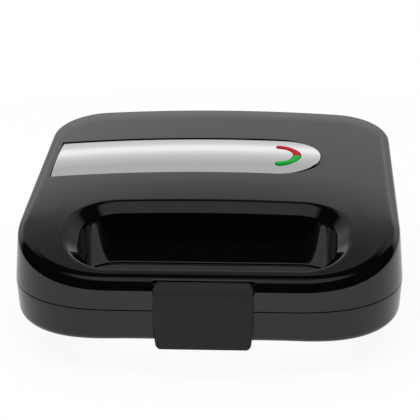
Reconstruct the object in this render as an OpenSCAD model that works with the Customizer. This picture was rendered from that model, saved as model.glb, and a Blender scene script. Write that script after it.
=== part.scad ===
// Sandwich toaster: two moulded housings hinged at the back, with a hand opening through the front,
// non-stick plates, heating elements and a flip latch on the lid.
// Inside the modules, Y = 0 is the front of the seam between the housings and Z = 0 is the seam.

/* [Housings] */
// Width at the seam
body_w = 230; // [225:1:242]
// Depth at the seam, without latch and hinge
body_d = 235; // [232:1:244]
// Height of the seam above the table
seam_h = 40; // [38:0.5:46]
// Wall thickness of both housings
wall = 2.4; // [2:0.1:2.8]
// Gap between the housings at the seam
seam_gap = 0.6; // [0.4:0.1:1]
// Radius of the front corners, seen from above
front_r = 62.5; // [60:0.5:66]
// Radius of the rear corners, seen from above
rear_r = 36; // [33:0.5:40]
// How much each side draws in per millimetre of depth
side_taper = 0.025; // [0.01:0.005:0.04]
// Draft of the outer walls, in degrees
draft = 4; // [3:0.5:5]

/* [Lid top] */
// Height of the lid's front edge above the seam
nose_h = 17.7; // [17:0.1:19]
// Rise of the lid's top per millimetre, over the handle
nose_slope = 0.285; // [0.27:0.005:0.3]
// Height that the lid's rear run starts from
roof_h = 31; // [30:0.5:34]
// Rise of the lid's top per millimetre, behind the handle
roof_slope = 0.042; // [0.034:0.002:0.056]
// Softness of the bend between the two runs
bend = 1.2; // [0.8:0.1:2]
// Height of the crown across the lid
crown_h = 5.4; // [4:0.1:6.5]
// Radius of the rounded edge round the lid's top
lid_edge_r = 6.6; // [6:0.1:7]

/* [Base underside] */
// Depth of the front of the base below the seam
chin_h = 19.5; // [18:0.5:20.5]
// Depth of the belly below the seam
belly_h = 30; // [29:0.5:33]
// Radius of the rounded edge round the underside
base_edge_r = 4.5; // [4:0.5:6]

/* [Hand opening] */
// Half width of the hand opening
grip_x = 76.7; // [74:0.1:78]
// Front wall of the hand opening
grip_y0 = 19; // [18.5:0.5:21]
// Far wall of the hand opening
grip_y1 = 72; // [68:0.5:73]
// Corner radius of the hand opening
grip_r = 22; // [18:0.5:24]
// Width of the chamfer round the hand opening
rim_w = 6.9; // [6:0.1:7.5]
// Drop of that chamfer
rim_h = 6.2; // [5:0.1:7]

/* [Plates] */
// Gap between each side of a plate and the housing wall
plate_gap = 2; // [1.5:0.1:3]
// Thickness of a plate
plate_t = 2.5; // [2.2:0.1:3]
// Distance from the seam to the face of each plate
plate_set = 1.2; // [0.8:0.1:2]
// Depth of the pockets in the lower plate
lower_pocket = 12; // [10:0.5:13]
// Depth of the pockets in the upper plate
upper_pocket = 10; // [8:0.5:12]
// Width of the ridges between the pockets
ridge_w = 6; // [5:0.5:8]
// Margin of a plate outside its pockets, at the sides
pocket_side = 10.5; // [9:0.5:14]
// Margin of a plate before its pockets
pocket_front = 19.6; // [17:0.1:22]
// Margin of a plate behind its pockets
pocket_rear = 21.6; // [21:0.1:24]

/* [Latch] */
// Width of the latch
latch_w = 57; // [53:0.5:61]
// Thickness of the latch plate
latch_t = 3; // [2.6:0.1:3.4]
// Radius of the latch's barrel
barrel_r = 4.2; // [4:0.1:4.4]
// Height of the latch pin above the seam
latch_z = 13.2; // [13:0.1:13.6]
// Distance of the latch pin behind the front of the seam
latch_y = 3.6; // [3.5:0.1:3.9]
// Radius of the latch's corners
latch_corner = 4; // [3:0.5:5]
// Length of the latch below the seam
latch_drop = 23; // [22:0.5:25]
// Radius of the latch pin
latch_pin_r = 1; // [0.8:0.1:1.1]

/* [Hinge] */
// Distance of the hinge axis behind the housings
hinge_out = 7; // [6.8:0.1:8]
// Radius of the knuckles
knuckle_r = 5.8; // [5.2:0.1:6]
// Radius of the hinge pins
hinge_pin_r = 2; // [1.8:0.1:2.4]
// Distance of each hinge from the middle
hinge_x = 62; // [56:0.5:64]
// Length of the lid's knuckles
lid_knuckle = 16; // [12:0.5:18]
// Length of each of the base's knuckles
base_knuckle = 7; // [6:0.5:8]

/* [Trim strip and lenses] */
// Middle of the strip's round end, across and front to back
lens_c = [40, 147]; // [30:0.5:160]
// Half the depth of the strip
strip_r = 27; // [25:0.5:28]
// Where the strip's straight end starts, left of the middle
strip_x0 = -102.5; // [-103:0.5:-96]
// Thickness of the strip
strip_t = 0.8; // [0.6:0.1:1]
// Inner radius of the lenses
lens_r0 = 10.8; // [10:0.1:11.5]
// Outer radius of the lenses
lens_r1 = 15.5; // [15:0.1:16.5]

/* [Heating] */
// Radius of the heating tubes
tube_r = 3.3; // [3:0.1:3.5]
// Thickness of the reflector sheets
sheet_t = 0.6; // [0.5:0.1:0.8]
// Body radius of the thermostat
thermostat_r = 8; // [7:0.5:9]

/* [Inlet] */
// Radius of the hole in the cord gland
gland_r = 3.4; // [3:0.1:3.6]

/* [Feet] */
// Radius of a foot
foot_r = 9; // [8:0.5:10]
// Height of the rubber foot below its leg
foot_h = 3; // [2.5:0.5:4]
// Distance of the feet from the sides
foot_side = 37; // [35:1:40]
// The front and the rear row of feet
foot_y = [97, 212]; // [95:1:214]

/* [Hidden] */
$fn = 48;

run = 0.05;                                  // radial clearance of a pin that turns
slip = 0.3;                                  // clearance round a piece that drops in
hinge_y = body_d + hinge_out;
face_y = -latch_t;                           // front face of the latch
lip_y = face_y - 1.5;                        // its flared lower lip
mid_y = (hinge_y + knuckle_r + lip_y) / 2;   // middle of the whole depth
half_w = body_w / 2;
lid_drop = seam_gap / 2;
base_drop = seam_gap / 2;
rib_t = 1.6;
rib_in = wall - 0.1;                         // a rib's end, inside the wall's thickness
corner_power = 2.28;                         // front corners are a little squarer than round
arc_n = 11;                                  // steps round a housing corner
bay_y = grip_y1 + wall;                      // front of the bay that holds the plates
plate_y0 = bay_y + plate_gap;
plate_y1 = body_d - wall - plate_gap;
plate_x = half_w - side_taper * (plate_y1 - front_r) - wall - plate_gap;
flange_z = plate_set + plate_t;              // back of a plate's flange
slice = [plate_x - ridge_w / 2 - pocket_side, plate_y1 - plate_y0 - pocket_front - pocket_rear];
well_y = plate_y0 + pocket_front + slice[1] / 2;  // middle of the pockets
well_x = slice[0] / 2 + ridge_w / 2;
screw_r = 1.5;
head_r = 3;
head_h = 1.6;
post_r = 4;
pilot = 8;
screw_x = [plate_x - 6, plate_x - 42];
screw_y = [plate_y0 + 6, plate_y1 - 6];
leg_h = seam_h - belly_h - foot_h;
foot_x = half_w - foot_side;
recess_w = latch_w + 1.6;
pad_w = recess_w + 7;

// ---- curves shared by the pieces ----

function soft_min(a, b, k) = (a + b) / 2 - sqrt(pow((a - b) / 2, 2) + k * k);
function smooth(t) = let (u = min(1, max(0, t))) u * u * (3 - 2 * u);
function mix(a, b, t) = a + (b - a) * t;

// Height of the lid's top surface
function lid_top(x, y) =
  soft_min(nose_h + nose_slope * y, roof_h + roof_slope * y, bend)
  + crown_h * smooth(y / 110) * (1 - pow(x / half_w, 2));
// Depth of the base's underside
function base_low(x, y) = chin_h + (belly_h - chin_h) * smooth((y - 50) / 40);

// Points along a quarter of a rounded corner; power 2 is a circle, more is squarer
function corner(cx, cy, r, start, power = 2) =
  [for (i = [0:arc_n])
    let (a = 90 * i / arc_n, u = pow(cos(a), 2 / power), v = pow(sin(a), 2 / power))
    [cx + r * (cos(start) * u - sin(start) * v), cy + r * (sin(start) * u + cos(start) * v)]];
// Points between two corners, ends left out
function between(p, q, n) = [for (i = [1:n - 1]) mix(p, q, i / n)];
// Joins four corners into a ring, with straight runs divided so that they follow the curved top
function join(c) =
  [for (k = [0:3]) each concat(c[k], between(c[k][arc_n], c[(k + 1) % 4][0], k % 2 == 0 ? 12 : 8))];

// Outline of the housings, drawn in by d. It starts at the right of the front edge.
function outline(d) =
  let (
    fx = half_w - front_r,
    rx = half_w - side_taper * (body_d - rear_r - front_r) - rear_r
  )
  join([
    corner(fx, front_r, front_r - d, -90, corner_power),
    corner(rx, body_d - rear_r, rear_r - d, 0),
    corner(-rx, body_d - rear_r, rear_r - d, 90),
    corner(-fx, front_r, front_r - d, 180, corner_power)
  ]);
// Outline of the hand opening, let out by d
function grip(d) =
  let (cx = grip_x - grip_r, y0 = grip_y0 + grip_r, y1 = grip_y1 - grip_r)
  join([
    corner(cx, y0, grip_r + d, -90), corner(cx, y1, grip_r + d, 0),
    corner(-cx, y1, grip_r + d, 90), corner(-cx, y0, grip_r + d, 180)
  ]);
function blend(a, b, t) = [for (i = [0:len(a) - 1]) mix(a[i], b[i], t)];
rim = outline(0);
rim_in = outline(1);
// Outline of the lid or the base drawn in by d, and by the draft of the wall that stands there
function lid_ring(d) = [for (i = [0:len(rim) - 1])
  mix(rim[i], rim_in[i], d + tan(draft) * (lid_top(rim[i][0], rim[i][1]) - lid_edge_r))];
function base_ring(d) = [for (i = [0:len(rim) - 1])
  mix(rim[i], rim_in[i], d + tan(draft) * (base_low(rim[i][0], rim[i][1]) - base_edge_r))];
function at(ring, z) = [for (p = ring) [p[0], p[1], z]];
function under_lid(ring, drop) = [for (p = ring) [p[0], p[1], lid_top(p[0], p[1]) - drop]];
function over_base(ring, lift) = [for (p = ring) [p[0], p[1], lift - base_low(p[0], p[1])]];

// Outward offset of a convex outline's corner, and an outline drawn in by d with rounded corners
function unit(v) = v / norm(v);
function edge_normal(p, q) = let (v = unit(q - p)) [v[1], -v[0]];
function inset_corner(pts, i, d) =
  let (
    n = len(pts),
    a = edge_normal(pts[(i + n - 1) % n], pts[i]),
    b = edge_normal(pts[i], pts[(i + 1) % n])
  )
  pts[i] - d * (a + b) / (1 + a * b);
function rounded(pts, d, r, steps = 6) =
  [for (i = [0:len(pts) - 1])
    let (
      n = len(pts),
      c = inset_corner(pts, i, d + r),
      a = edge_normal(pts[(i + n - 1) % n], pts[i]),
      b = edge_normal(pts[i], pts[(i + 1) % n]),
      start = atan2(a[1], a[0]),
      turn = (atan2(b[1], b[0]) - start + 360) % 360
    )
    each [for (k = [0:steps]) let (g = start + turn * k / steps) c + r * [cos(g), sin(g)]]];

// ---- shapes shared by the pieces ----

// Solid through a stack of rings; a closed one joins the last ring to the first, without caps
module loft(rings, closed = false) {
  k = len(rings);
  m = len(rings[0]);
  points = [for (r = rings) each r];
  skin = [for (i = [0:closed ? k - 1 : k - 2], j = [0:m - 1])
    let (up = (i + 1) % k * m, side = (j + 1) % m, a = i * m + j, b = i * m + side, c = up + side, d = up + j)
    each [[a, c, b], [a, d, c]]];
  caps = closed ? [] : [[for (j = [0:m - 1]) j], [for (j = [m - 1:-1:0]) (k - 1) * m + j]];
  polyhedron(points, concat(skin, caps));
}

// A rod along X
module rod_x(x0, x1, r) {
  translate([x0, 0, 0]) rotate([0, 90, 0]) cylinder(r = r, h = x1 - x0);
}

module both_sides() {
  children();
  mirror([1, 0, 0]) children();
}

// Moves a piece from the seam's frame to the part's own origin, under the middle of the feet
module placed(shade) {
  color(shade) translate([0, -mid_y, seam_h]) children();
}

// Posts between a housing and the flange of its plate
module plate_posts(lid) {
  both_sides() for (i = [0:1]) let (x = screw_x[i], y = screw_y[i]) {
    if (lid) translate([x, y, flange_z]) cylinder(r = post_r, h = lid_top(x, y) - wall / 2 - flange_z);
    else translate([x, y, wall / 2 - base_low(x, y)])
      cylinder(r = post_r, h = base_low(x, y) - wall / 2 - flange_z);
  }
}

module plate_screw_places() {
  both_sides() for (i = [0:1]) translate([screw_x[i], screw_y[i], 0]) children();
}

// Half width of the seam's outline at a depth of y
function side_x(y) = y < front_r
  ? half_w - front_r + front_r * pow(1 - pow(1 - y / front_r, corner_power), 1 / corner_power)
  : half_w - side_taper * (y - front_r);
// Distance from the wall of the hand opening
function grip_far(x, y) =
  let (half_y = (grip_y1 - grip_y0) / 2, dx = abs(x) - grip_x, dy = abs(y - grip_y0 - half_y) - half_y)
  norm([max(0, dx + grip_r), max(0, dy + grip_r)]) - grip_r;
function round_drop(i, r) = i >= r ? 0 : r - sqrt(max(0, r * r - pow(r - i, 2)));
// Height of the middle of a shell's wall over a rib, at the lid and at the base
function lid_skin(x, y) =
  lid_top(x, y) - wall / 2
  - max(
    round_drop(min(y, side_x(y) - abs(x)) - tan(draft) * (lid_top(x, y) - lid_edge_r), lid_edge_r),
    (rim_h + 0.8) * (1 - grip_far(x, y) / rim_w));
function base_skin(x, y) =
  wall / 2 - base_low(x, y)
  + max(
    round_drop(min(y, side_x(y) - abs(x)) - tan(draft) * (base_low(x, y) - base_edge_r), base_edge_r),
    round_drop(grip_far(x, y), 3));

// A rib across a hollow, along Y, that ends inside the shell above or below it
module rib_y(x, y0, y1, lid) {
  steps = 8;
  edge = [for (i = [0:steps]) let (y = mix(y0, y1, i / steps)) [y, lid ? lid_skin(x, y) : base_skin(x, y)]];
  start = lid ? 2 : -2;
  translate([x - rib_t / 2, 0, 0]) rotate([90, 0, 90]) linear_extrude(rib_t)
    polygon(concat([[y1, start], [y0, start]], edge));
}

// The same along X
module rib_x(y, x0, x1, lid) {
  steps = 8;
  edge = [for (i = [0:steps]) let (x = mix(x0, x1, i / steps)) [x, lid ? lid_skin(x, y) : base_skin(x, y)]];
  start = lid ? 2 : -2;
  translate([0, y + rib_t / 2, 0]) rotate([90, 0, 0]) linear_extrude(rib_t)
    polygon(concat([[x1, start], [x0, start]], edge));
}

// Ribs that stiffen the handle and its two arms, and close the bay of the plates
module handle_ribs(lid) {
  both_sides() {
    for (x = [38, 52]) rib_y(x, rib_in, grip_y0 - wall / 2, lid);
    for (y = [44, 58]) rib_x(y, grip_x + wall / 2, side_x(y) - rib_in, lid);
    rib_x(bay_y, grip_x - grip_r, side_x(bay_y) - rib_in, lid);
  }
}

// ---- housings ----

// Moulded shell of the lid: outer wall, rounded edge, crowned top, chamfer, hand opening, inside
module lid_shell() {
  r = lid_edge_r;
  in_r = r - 1;
  far = rim_w + 1.4;
  loft(concat(
    [at(outline(0.5), lid_drop), at(outline(0), lid_drop + 0.6)],
    [for (a = [0:15:75]) under_lid(lid_ring(r * (1 - cos(a))), r * (1 - sin(a)))],
    [for (t = [0, 0.3, 0.65]) under_lid(blend(lid_ring(r), grip(far), t), 0)],
    [under_lid(grip(far), 0), under_lid(grip(rim_w), 0.5), under_lid(grip(1), rim_h - 0.6)],
    [under_lid(grip(0), rim_h + 1.2), at(grip(0), lid_drop)],
    [at(grip(wall), lid_drop), under_lid(grip(wall), rim_h + wall)],
    [under_lid(grip(rim_w + 1), wall)],
    [for (t = [0.65, 0.3, 0]) under_lid(blend(lid_ring(r), grip(far + 1), t), wall)],
    [for (a = [60, 30, 0]) under_lid(lid_ring(wall + in_r * (1 - cos(a))), wall + in_r * (1 - sin(a)))],
    [at(outline(wall), lid_drop)]
  ), closed = true);
}

// Moulded shell of the base, which mirrors the lid's and has a flat belly
module base_shell() {
  r = base_edge_r;
  in_r = r - 2;
  far = 3.4;
  rings = concat(
    [at(outline(0.5), -base_drop), at(outline(0), -base_drop - 0.6)],
    [for (a = [0:15:75]) over_base(base_ring(r * (1 - cos(a))), r * (1 - sin(a)))],
    [for (t = [0, 0.3, 0.65]) over_base(blend(base_ring(r), grip(far), t), 0)],
    [over_base(grip(far), 0), over_base(grip(0.9), 0.9), over_base(grip(0), 3), at(grip(0), -base_drop)],
    [at(grip(wall), -base_drop), over_base(grip(wall), wall + 1.6), over_base(grip(far + 1), wall)],
    [for (t = [0.65, 0.3, 0]) over_base(blend(base_ring(r), grip(far + 1), t), wall)],
    [for (a = [60, 30, 0]) over_base(base_ring(wall + in_r * (1 - cos(a))), wall + in_r * (1 - sin(a)))],
    [at(outline(wall), -base_drop)]
  );
  n = len(rings);
  loft([for (i = [0:n - 1]) rings[n - 1 - i]], closed = true);
}

keeper_z = 8;                                // top of the base's keeper, below the seam
keeper_h = 2.6;
keeper_y = 1.7;                              // front of the keeper
catch_gap = 0.4;                             // gap between hook and keeper while the latch is slack
hook_z = keeper_z + keeper_h + 0.6;
hook_y = keeper_y - catch_gap;
recess_y = 2.6;                              // depth of the recess in the base
undercut_y = 4.4;                            // depth of the pocket under the keeper
latch_top = latch_z + barrel_r + 0.5;
lid_recess_y = 2.4;                          // depth of the recess in the lid under the trough

// Plate, hook and flared lip of the latch, drawn in Y and Z
module latch_side() {
  polygon([
    [face_y, 7], [face_y + 0.5, latch_z - 2], [face_y + 2.2, latch_z + 1.4],
    [latch_y - barrel_r * 0.7, latch_z + barrel_r * 0.7], [latch_y - 1.6, latch_z],
    [latch_y - 1, latch_z - barrel_r + 0.6], [0.1, latch_z - 5.3],
    [0, 6], [0, -hook_z], [hook_y, -hook_z], [hook_y, -hook_z - 1.5], [0.2, -hook_z - 4],
    [-0.6, -latch_drop + 2], [lip_y + 1.9, -latch_drop], [lip_y + 0.6, -latch_drop], [lip_y, -latch_drop + 1],
    [face_y - 0.4, -latch_drop + 7], [face_y, -latch_drop + 12]
  ]);
}

// Trough and recess in the front of the lid that the latch lies in
module lid_recess() {
  translate([-recess_w / 2, 0, 0]) {
    translate([0, latch_y, latch_z]) rod_x(0, recess_w, barrel_r + 0.6);
    translate([0, -5, -1]) cube([recess_w, 5 + lid_recess_y, latch_z + 1]);
    translate([0, -5, latch_z - 1]) cube([recess_w, 5 + latch_y, 10]);
  }
}

// Recess in the front of the base, with the pocket under the keeper
module base_recess() {
  translate([-recess_w / 2, -5, 0]) {
    translate([0, 0, -keeper_z]) cube([recess_w, 5 + recess_y, keeper_z + 1]);
    translate([0, 0, -seam_h]) cube([recess_w, 5 + keeper_y, seam_h]);
    translate([0, 0, -seam_h]) cube([recess_w, 5 + undercut_y, seam_h - keeper_z - keeper_h]);
  }
}

// Blocks behind the recess of the base
module base_pad() {
  translate([-pad_w / 2, 2, -12]) cube([pad_w, 6.5, 12 - base_drop]);
  translate([-pad_w / 2, undercut_y + 0.4, -chin_h + 1.4]) cube([pad_w, 3.7, 8]);
}

// Rear wall of the housings at a distance x from the middle
function rear_y(x) =
  let (cx = half_w - side_taper * (body_d - rear_r - front_r) - rear_r)
  body_d - rear_r + sqrt(max(0, pow(rear_r, 2) - pow(max(0, x - cx), 2)));

module hinge_knuckle(x0, x1, side) {
  y0 = rear_y(x1) - wall / 2 - 0.6;
  difference() {
    union() {
      translate([0, hinge_y, 0]) rod_x(x0, x1, knuckle_r);
      translate([x0, y0, side > 0 ? 1 : -knuckle_r + 0.1])
        cube([x1 - x0, hinge_y - y0, knuckle_r - 1.1]);
    }
    translate([0, hinge_y, 0]) rod_x(x0 - 1, x1 + 1, hinge_pin_r + (side > 0 ? run : 0));
  }
}

board_t = 1.6;
board = [58, 32];
lamp_posts = [for (s = [-1, 1]) [lens_c[0] + s * (board[0] / 2 - 5), lens_c[1]]];
board_z = lid_top(lens_c[0], lens_c[1]) - 18;

module lid_housing() {
  placed("#161616") {
    difference() {
      union() {
        lid_shell();
        handle_ribs(true);
        translate([-pad_w / 2, 2, lid_drop]) cube([pad_w, 8.4, nose_h - 3]);
        plate_posts(true);
        for (p = lamp_posts) translate([p[0], p[1], board_z + board_t])
          cylinder(r = 3, h = lid_top(p[0], p[1]) - wall / 2 - board_z - board_t);
      }
      lid_recess();
      translate([0, latch_y, latch_z]) rod_x(-pad_w / 2 + 1, pad_w / 2 - 1, latch_pin_r);
      strip_bed();
      lens_slot();
      plate_screw_places() cylinder(r = screw_r, h = flange_z + pilot);
      for (p = lamp_posts) translate([p[0], p[1], 0]) cylinder(r = 1.2, h = board_z + board_t + 7);
    }
    both_sides() hinge_knuckle(hinge_x - lid_knuckle / 2, hinge_x + lid_knuckle / 2, 1);
  }
}

ear_gap = 0.4;
ear_x = [hinge_x - lid_knuckle / 2 - ear_gap - base_knuckle, hinge_x + lid_knuckle / 2 + ear_gap];
gland_y = body_d - wall - 5;
gland_z = -15;
gland_out = gland_r + 2.2;
fuse_y = plate_y1 - 12;

module base_housing() {
  placed("#161616") {
    difference() {
      union() {
        base_shell();
        handle_ribs(false);
        base_pad();
        plate_posts(false);
        both_sides() for (y = foot_y) translate([foot_x, y, -belly_h - leg_h])
          cylinder(r1 = foot_r + 1.5, r2 = foot_r + 3, h = leg_h + wall);
        for (k = [-3:2:3]) translate([k * tray_x / 5 - rib_t / 2, well_y - bend_r - 4, -belly_h + wall / 2])
          cube([rib_t, 2 * bend_r + 8, belly_h - wall / 2 - tray_z - sheet_t]);
        clamp_posts() cylinder(r = 3.2, h = clamp_z + belly_h - wall / 2);
      }
      base_recess();
      plate_screw_places() translate([0, 0, -flange_z - pilot]) cylinder(r = screw_r, h = pilot + flange_z);
      translate([0, body_d - wall - 6, gland_z]) rotate([-90, 0, 0]) cylinder(r = gland_out, h = 20);
      both_sides() for (y = foot_y) translate([foot_x, y, -seam_h]) cylinder(r = 3, h = foot_h + leg_h - 1.4);
      clamp_posts() translate([0, 0, clamp_z + belly_h - wall / 2 - 6]) cylinder(r = 1.1, h = 8);
    }
    both_sides() for (x = ear_x) hinge_knuckle(x, x + base_knuckle, -1);
  }
}

// ---- plates and heating ----

// The two triangles of one slice, as seen from above: cut along its diagonal
function slice_triangles() =
  let (x0 = well_x - slice[0] / 2, x1 = well_x + slice[0] / 2)
  let (y0 = well_y - slice[1] / 2, y1 = well_y + slice[1] / 2)
  [[[x0, y0], [x1, y0], [x0, y1]], [[x1, y0], [x1, y1], [x0, y1]]];

module plate_body(depth) {
  arc = rear_r - wall - plate_gap;
  difference() {
    union() {
      translate([0, 0, -plate_t]) linear_extrude(plate_t) {
        translate([-plate_x, plate_y0]) square([2 * plate_x, plate_y1 - plate_y0 - arc]);
        translate([arc - plate_x, plate_y0]) square([2 * (plate_x - arc), plate_y1 - plate_y0]);
        for (s = [-1, 1]) translate([s * (plate_x - arc), plate_y1 - arc]) circle(r = arc, $fn = 96);
      }
      both_sides() for (tri = slice_triangles()) {
        loft([for (s = [[8.5, 1], [4, 0.75], [-0.8, 0.3], [-0.8, -0.08]])
          at(rounded(tri, s[0], 9 - s[0] * 0.7, 5), -depth * s[1] - plate_t * (s[1] > 0.5 ? 1 : 0.5))]);
      }
    }
    both_sides() for (tri = slice_triangles()) {
      loft([for (s = [[11.2, 1], [8.2, 0.93], [5.7, 0.72], [2.4, 0], [2.4, -0.2]])
        at(rounded(tri, s[0], 10 - s[0] * 0.55, 5), -depth * s[1])]);
    }
    plate_screw_places() translate([0, 0, -2 * plate_t]) cylinder(r = screw_r + 0.2, h = 3 * plate_t);
    plate_screw_places() translate([0, 0, -head_h]) cylinder(r = head_r + 0.3, h = plate_t);
  }
}

module lower_plate() {
  placed("#3a3a3c") translate([0, 0, -plate_set]) plate_body(lower_pocket);
}

module upper_plate() {
  placed("#3a3a3c") translate([0, 0, plate_set]) mirror([0, 0, 1]) plate_body(upper_pocket);
}

// Back of the pockets, below or above the seam
function pocket_back(depth) = plate_set + depth + plate_t;
lower_tube = pocket_back(lower_pocket) + tube_r;
upper_tube = pocket_back(upper_pocket) + tube_r;
tray_z = lower_tube + tube_r;
lid_tray_z = upper_tube + tube_r;

bend_r = slice[1] / 2 - 21;                  // bend of the tubes

// U-shaped heating tube with two terminal pins at the left
module heater_tube() {
  reach = tray_x - 27;
  for (s = [-1, 1]) translate([0, well_y + s * bend_r, 0]) {
    rod_x(-reach, reach - bend_r, tube_r);
    rod_x(-reach - 9, -reach, 1.2);
  }
  translate([reach - bend_r, well_y, 0]) rotate([0, 0, -90])
    rotate_extrude(angle = 180) translate([bend_r, 0]) circle(r = tube_r);
}

module lower_heater() {
  placed("#8d8a86") translate([0, 0, -lower_tube]) heater_tube();
}

module upper_heater() {
  placed("#8d8a86") translate([0, 0, upper_tube]) heater_tube();
}

tray_x = well_x + slice[0] / 2 + 2.5;
tray_y = slice[1] / 2 + 2.5;
tray_rim = 3;
sensor = [-ridge_w / 2 - 22, well_y - 10];   // middle of the thermostat

// Bright sheet tray behind a heating tube, with four straps up to the flange of the plate
module reflector_tray(strap_h) {
  for (s = [-1, 1], x = [-60, 60]) translate([x - 4, well_y + s * tray_y - (s > 0 ? sheet_t : 0), 0])
    cube([8, sheet_t, strap_h]);
  difference() {
    translate([-tray_x, well_y - tray_y, -sheet_t]) cube([2 * tray_x, 2 * tray_y, tray_rim + sheet_t]);
    translate([-tray_x + sheet_t, well_y - tray_y + sheet_t, 0])
      cube([2 * (tray_x - sheet_t), 2 * (tray_y - sheet_t), 9]);
  }
}

module lower_reflector() {
  placed("#c9cbcd") translate([0, 0, -tray_z]) reflector_tray(tray_z - flange_z);
}

module upper_reflector() {
  placed("#c9cbcd") difference() {
    translate([0, 0, lid_tray_z]) mirror([0, 0, 1]) reflector_tray(lid_tray_z - flange_z);
    translate([sensor[0], sensor[1], lid_tray_z - 1]) cylinder(r = thermostat_r + 0.6, h = 4);
  }
}

// Pan-head screws from the cooking side of a plate
module plate_screws() {
  plate_screw_places() {
    translate([0, 0, -head_h]) cylinder(r = head_r, h = head_h);
    translate([0, 0, -flange_z + plate_set - pilot + 2])
      cylinder(r = screw_r - 0.02, h = pilot + plate_t - 2);
  }
}

module lower_plate_screws() {
  placed("#b9bbbd") translate([0, 0, -plate_set]) plate_screws();
}

module upper_plate_screws() {
  placed("#b9bbbd") translate([0, 0, plate_set]) mirror([0, 0, 1]) plate_screws();
}

// Disc thermostat on the back of an upper pocket, through the hole in its reflector
module thermostat() {
  back = pocket_back(upper_pocket);
  body_h = lid_tray_z - back + 4;
  placed("#d8d2c4") translate([sensor[0], sensor[1], back]) {
    cylinder(r = thermostat_r, h = body_h);
    for (s = [-1, 1]) translate([s * 4 - 0.4, -3, body_h]) cube([0.8, 6, 6]);
  }
}

// Tubular thermal fuse along the back of the lower plate, with its strap
module thermal_fuse() {
  placed("#cfc8b8") translate([0, fuse_y, -flange_z - 3]) {
    rod_x(-12, 12, 2.2);
    rod_x(-24, 24, 0.5);
    translate([-3, -5, 2.2]) cube([6, 10, 0.8]);
    translate([-3, -1, 1]) cube([6, 2, 1.5]);
  }
}

// ---- inlet ----

clamp_z = gland_z - gland_r;
clamp_y = body_d - 17;
module clamp_posts() {
  for (s = [-1, 1]) translate([s * 10, clamp_y, -belly_h + wall / 2]) children();
}

module terminal_block() {
  pole = 10;
  high = 11;
  block_x = screw_x[1] - post_r - 1.5 - 3 * pole;
  placed("#e8e4da") translate([block_x, clamp_y - pole / 2, -belly_h + wall]) difference() {
    cube([3 * pole, pole, high]);
    for (i = [0.5:2.5]) {
      translate([pole * i, -1, 4]) rotate([-90, 0, 0]) cylinder(r = 1.9, h = pole + 2);
      translate([pole * i, pole / 2, 6]) cylinder(r = 1.6, h = high);
    }
  }
}

// Bush that lines the inlet hole in the base's rear wall
module cord_gland() {
  placed("#111111") translate([0, 0, gland_z]) rotate([-90, 0, 0]) difference() {
    union() {
      translate([0, 0, body_d - 9]) cylinder(r = gland_out - 0.02, h = 12);
      translate([0, 0, body_d + 0.2]) cylinder(r = gland_out + 1.8, h = 3);
      translate([0, 0, body_d - 9]) cylinder(r = gland_out + 1.4, h = 2.6);
    }
    translate([0, 0, body_d - 12]) cylinder(r = gland_r, h = 20);
  }
}

// Bridge that grips the cord just inside the gland
module cord_clamp() {
  placed("#2b2b2b") translate([0, clamp_y, clamp_z]) difference() {
    union() {
      translate([-13.5, -4, 0]) cube([27, 8, 3]);
      rotate([90, 0, 0]) translate([0, 0, -4]) cylinder(r = gland_r + 2.4, h = 8);
    }
    translate([-20, -5, -20]) cube([40, 10, 20]);
    rotate([90, 0, 0]) translate([0, gland_r * 0.2, -5]) cylinder(r = gland_r, h = 10);
    for (s = [-1, 1]) translate([s * 10, 0, -1]) cylinder(r = 1.3, h = 6);
  }
}

module cord_clamp_screws() {
  placed("#b9bbbd") for (s = [-1, 1]) translate([s * 10, clamp_y, clamp_z]) {
    translate([0, 0, -4.5]) cylinder(r = 1.08, h = 8);
    translate([0, 0, 3]) cylinder(r = 2.4, h = 1.5);
  }
}

// ---- feet and pins ----

module foot(sx, row) {
  placed("#1c1c1c") translate([sx * foot_x, foot_y[row], -seam_h]) {
    cylinder(r1 = foot_r, r2 = foot_r + 0.8, h = foot_h);
    cylinder(r = 2.98, h = foot_h + leg_h - 2);
  }
}

module foot_front_left() { foot(-1, 0); }
module foot_front_right() { foot(1, 0); }
module foot_rear_left() { foot(-1, 1); }
module foot_rear_right() { foot(1, 1); }

module hinge_pin() {
  translate([0, hinge_y, 0]) rod_x(ear_x[0] + 0.5, ear_x[1] + base_knuckle - 0.5, hinge_pin_r);
}

module hinge_pin_left() {
  placed("#b9bbbd") mirror([1, 0, 0]) hinge_pin();
}

module hinge_pin_right() {
  placed("#b9bbbd") hinge_pin();
}

// ---- trim strip, lenses and lamps ----

function strip_end(y) = strip_x0 + 0.074 * (y - lens_c[1] + strip_r);
// Height of the strip over the lid's surface: its bed is cut strip_t deep, less what stands proud
proud = 0.25;
lens_gap = 1.2;                              // gap between the two lenses, in degrees

// Sheet over and round the strip that follows the lid's top, between two heights over it
module strip_sheet(low, high) {
  along = 16;
  across = 5;
  reach = strip_r + 6;
  x0 = strip_x0 - 6;
  x1 = lens_c[0] + strip_r + 6;
  loft([for (i = [0:along]) let (x = mix(x0, x1, i / along)) concat(
    [for (k = [0:across]) let (y = lens_c[1] + reach * (2 * k / across - 1)) [x, y, lid_top(x, y) + low]],
    [for (k = [across:-1:0]) let (y = lens_c[1] + reach * (2 * k / across - 1)) [x, y, lid_top(x, y) + high]]
  )]);
}

// Plan of the strip, let out by grow: a straight left end and a round right end
module strip_plan(grow) {
  y0 = lens_c[1] - strip_r - grow;
  y1 = lens_c[1] + strip_r + grow;
  polygon([[strip_end(y0) - grow, y0], [lens_c[0], y0], [lens_c[0], y1], [strip_end(y1) - grow, y1]]);
  translate(lens_c) circle(r = strip_r + grow, $fn = 96);
}

module strip_bed() {
  intersection() {
    strip_sheet(proud - strip_t - 0.1, 4);
    linear_extrude(2 * roof_h) strip_plan(0.5);
  }
}

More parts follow.
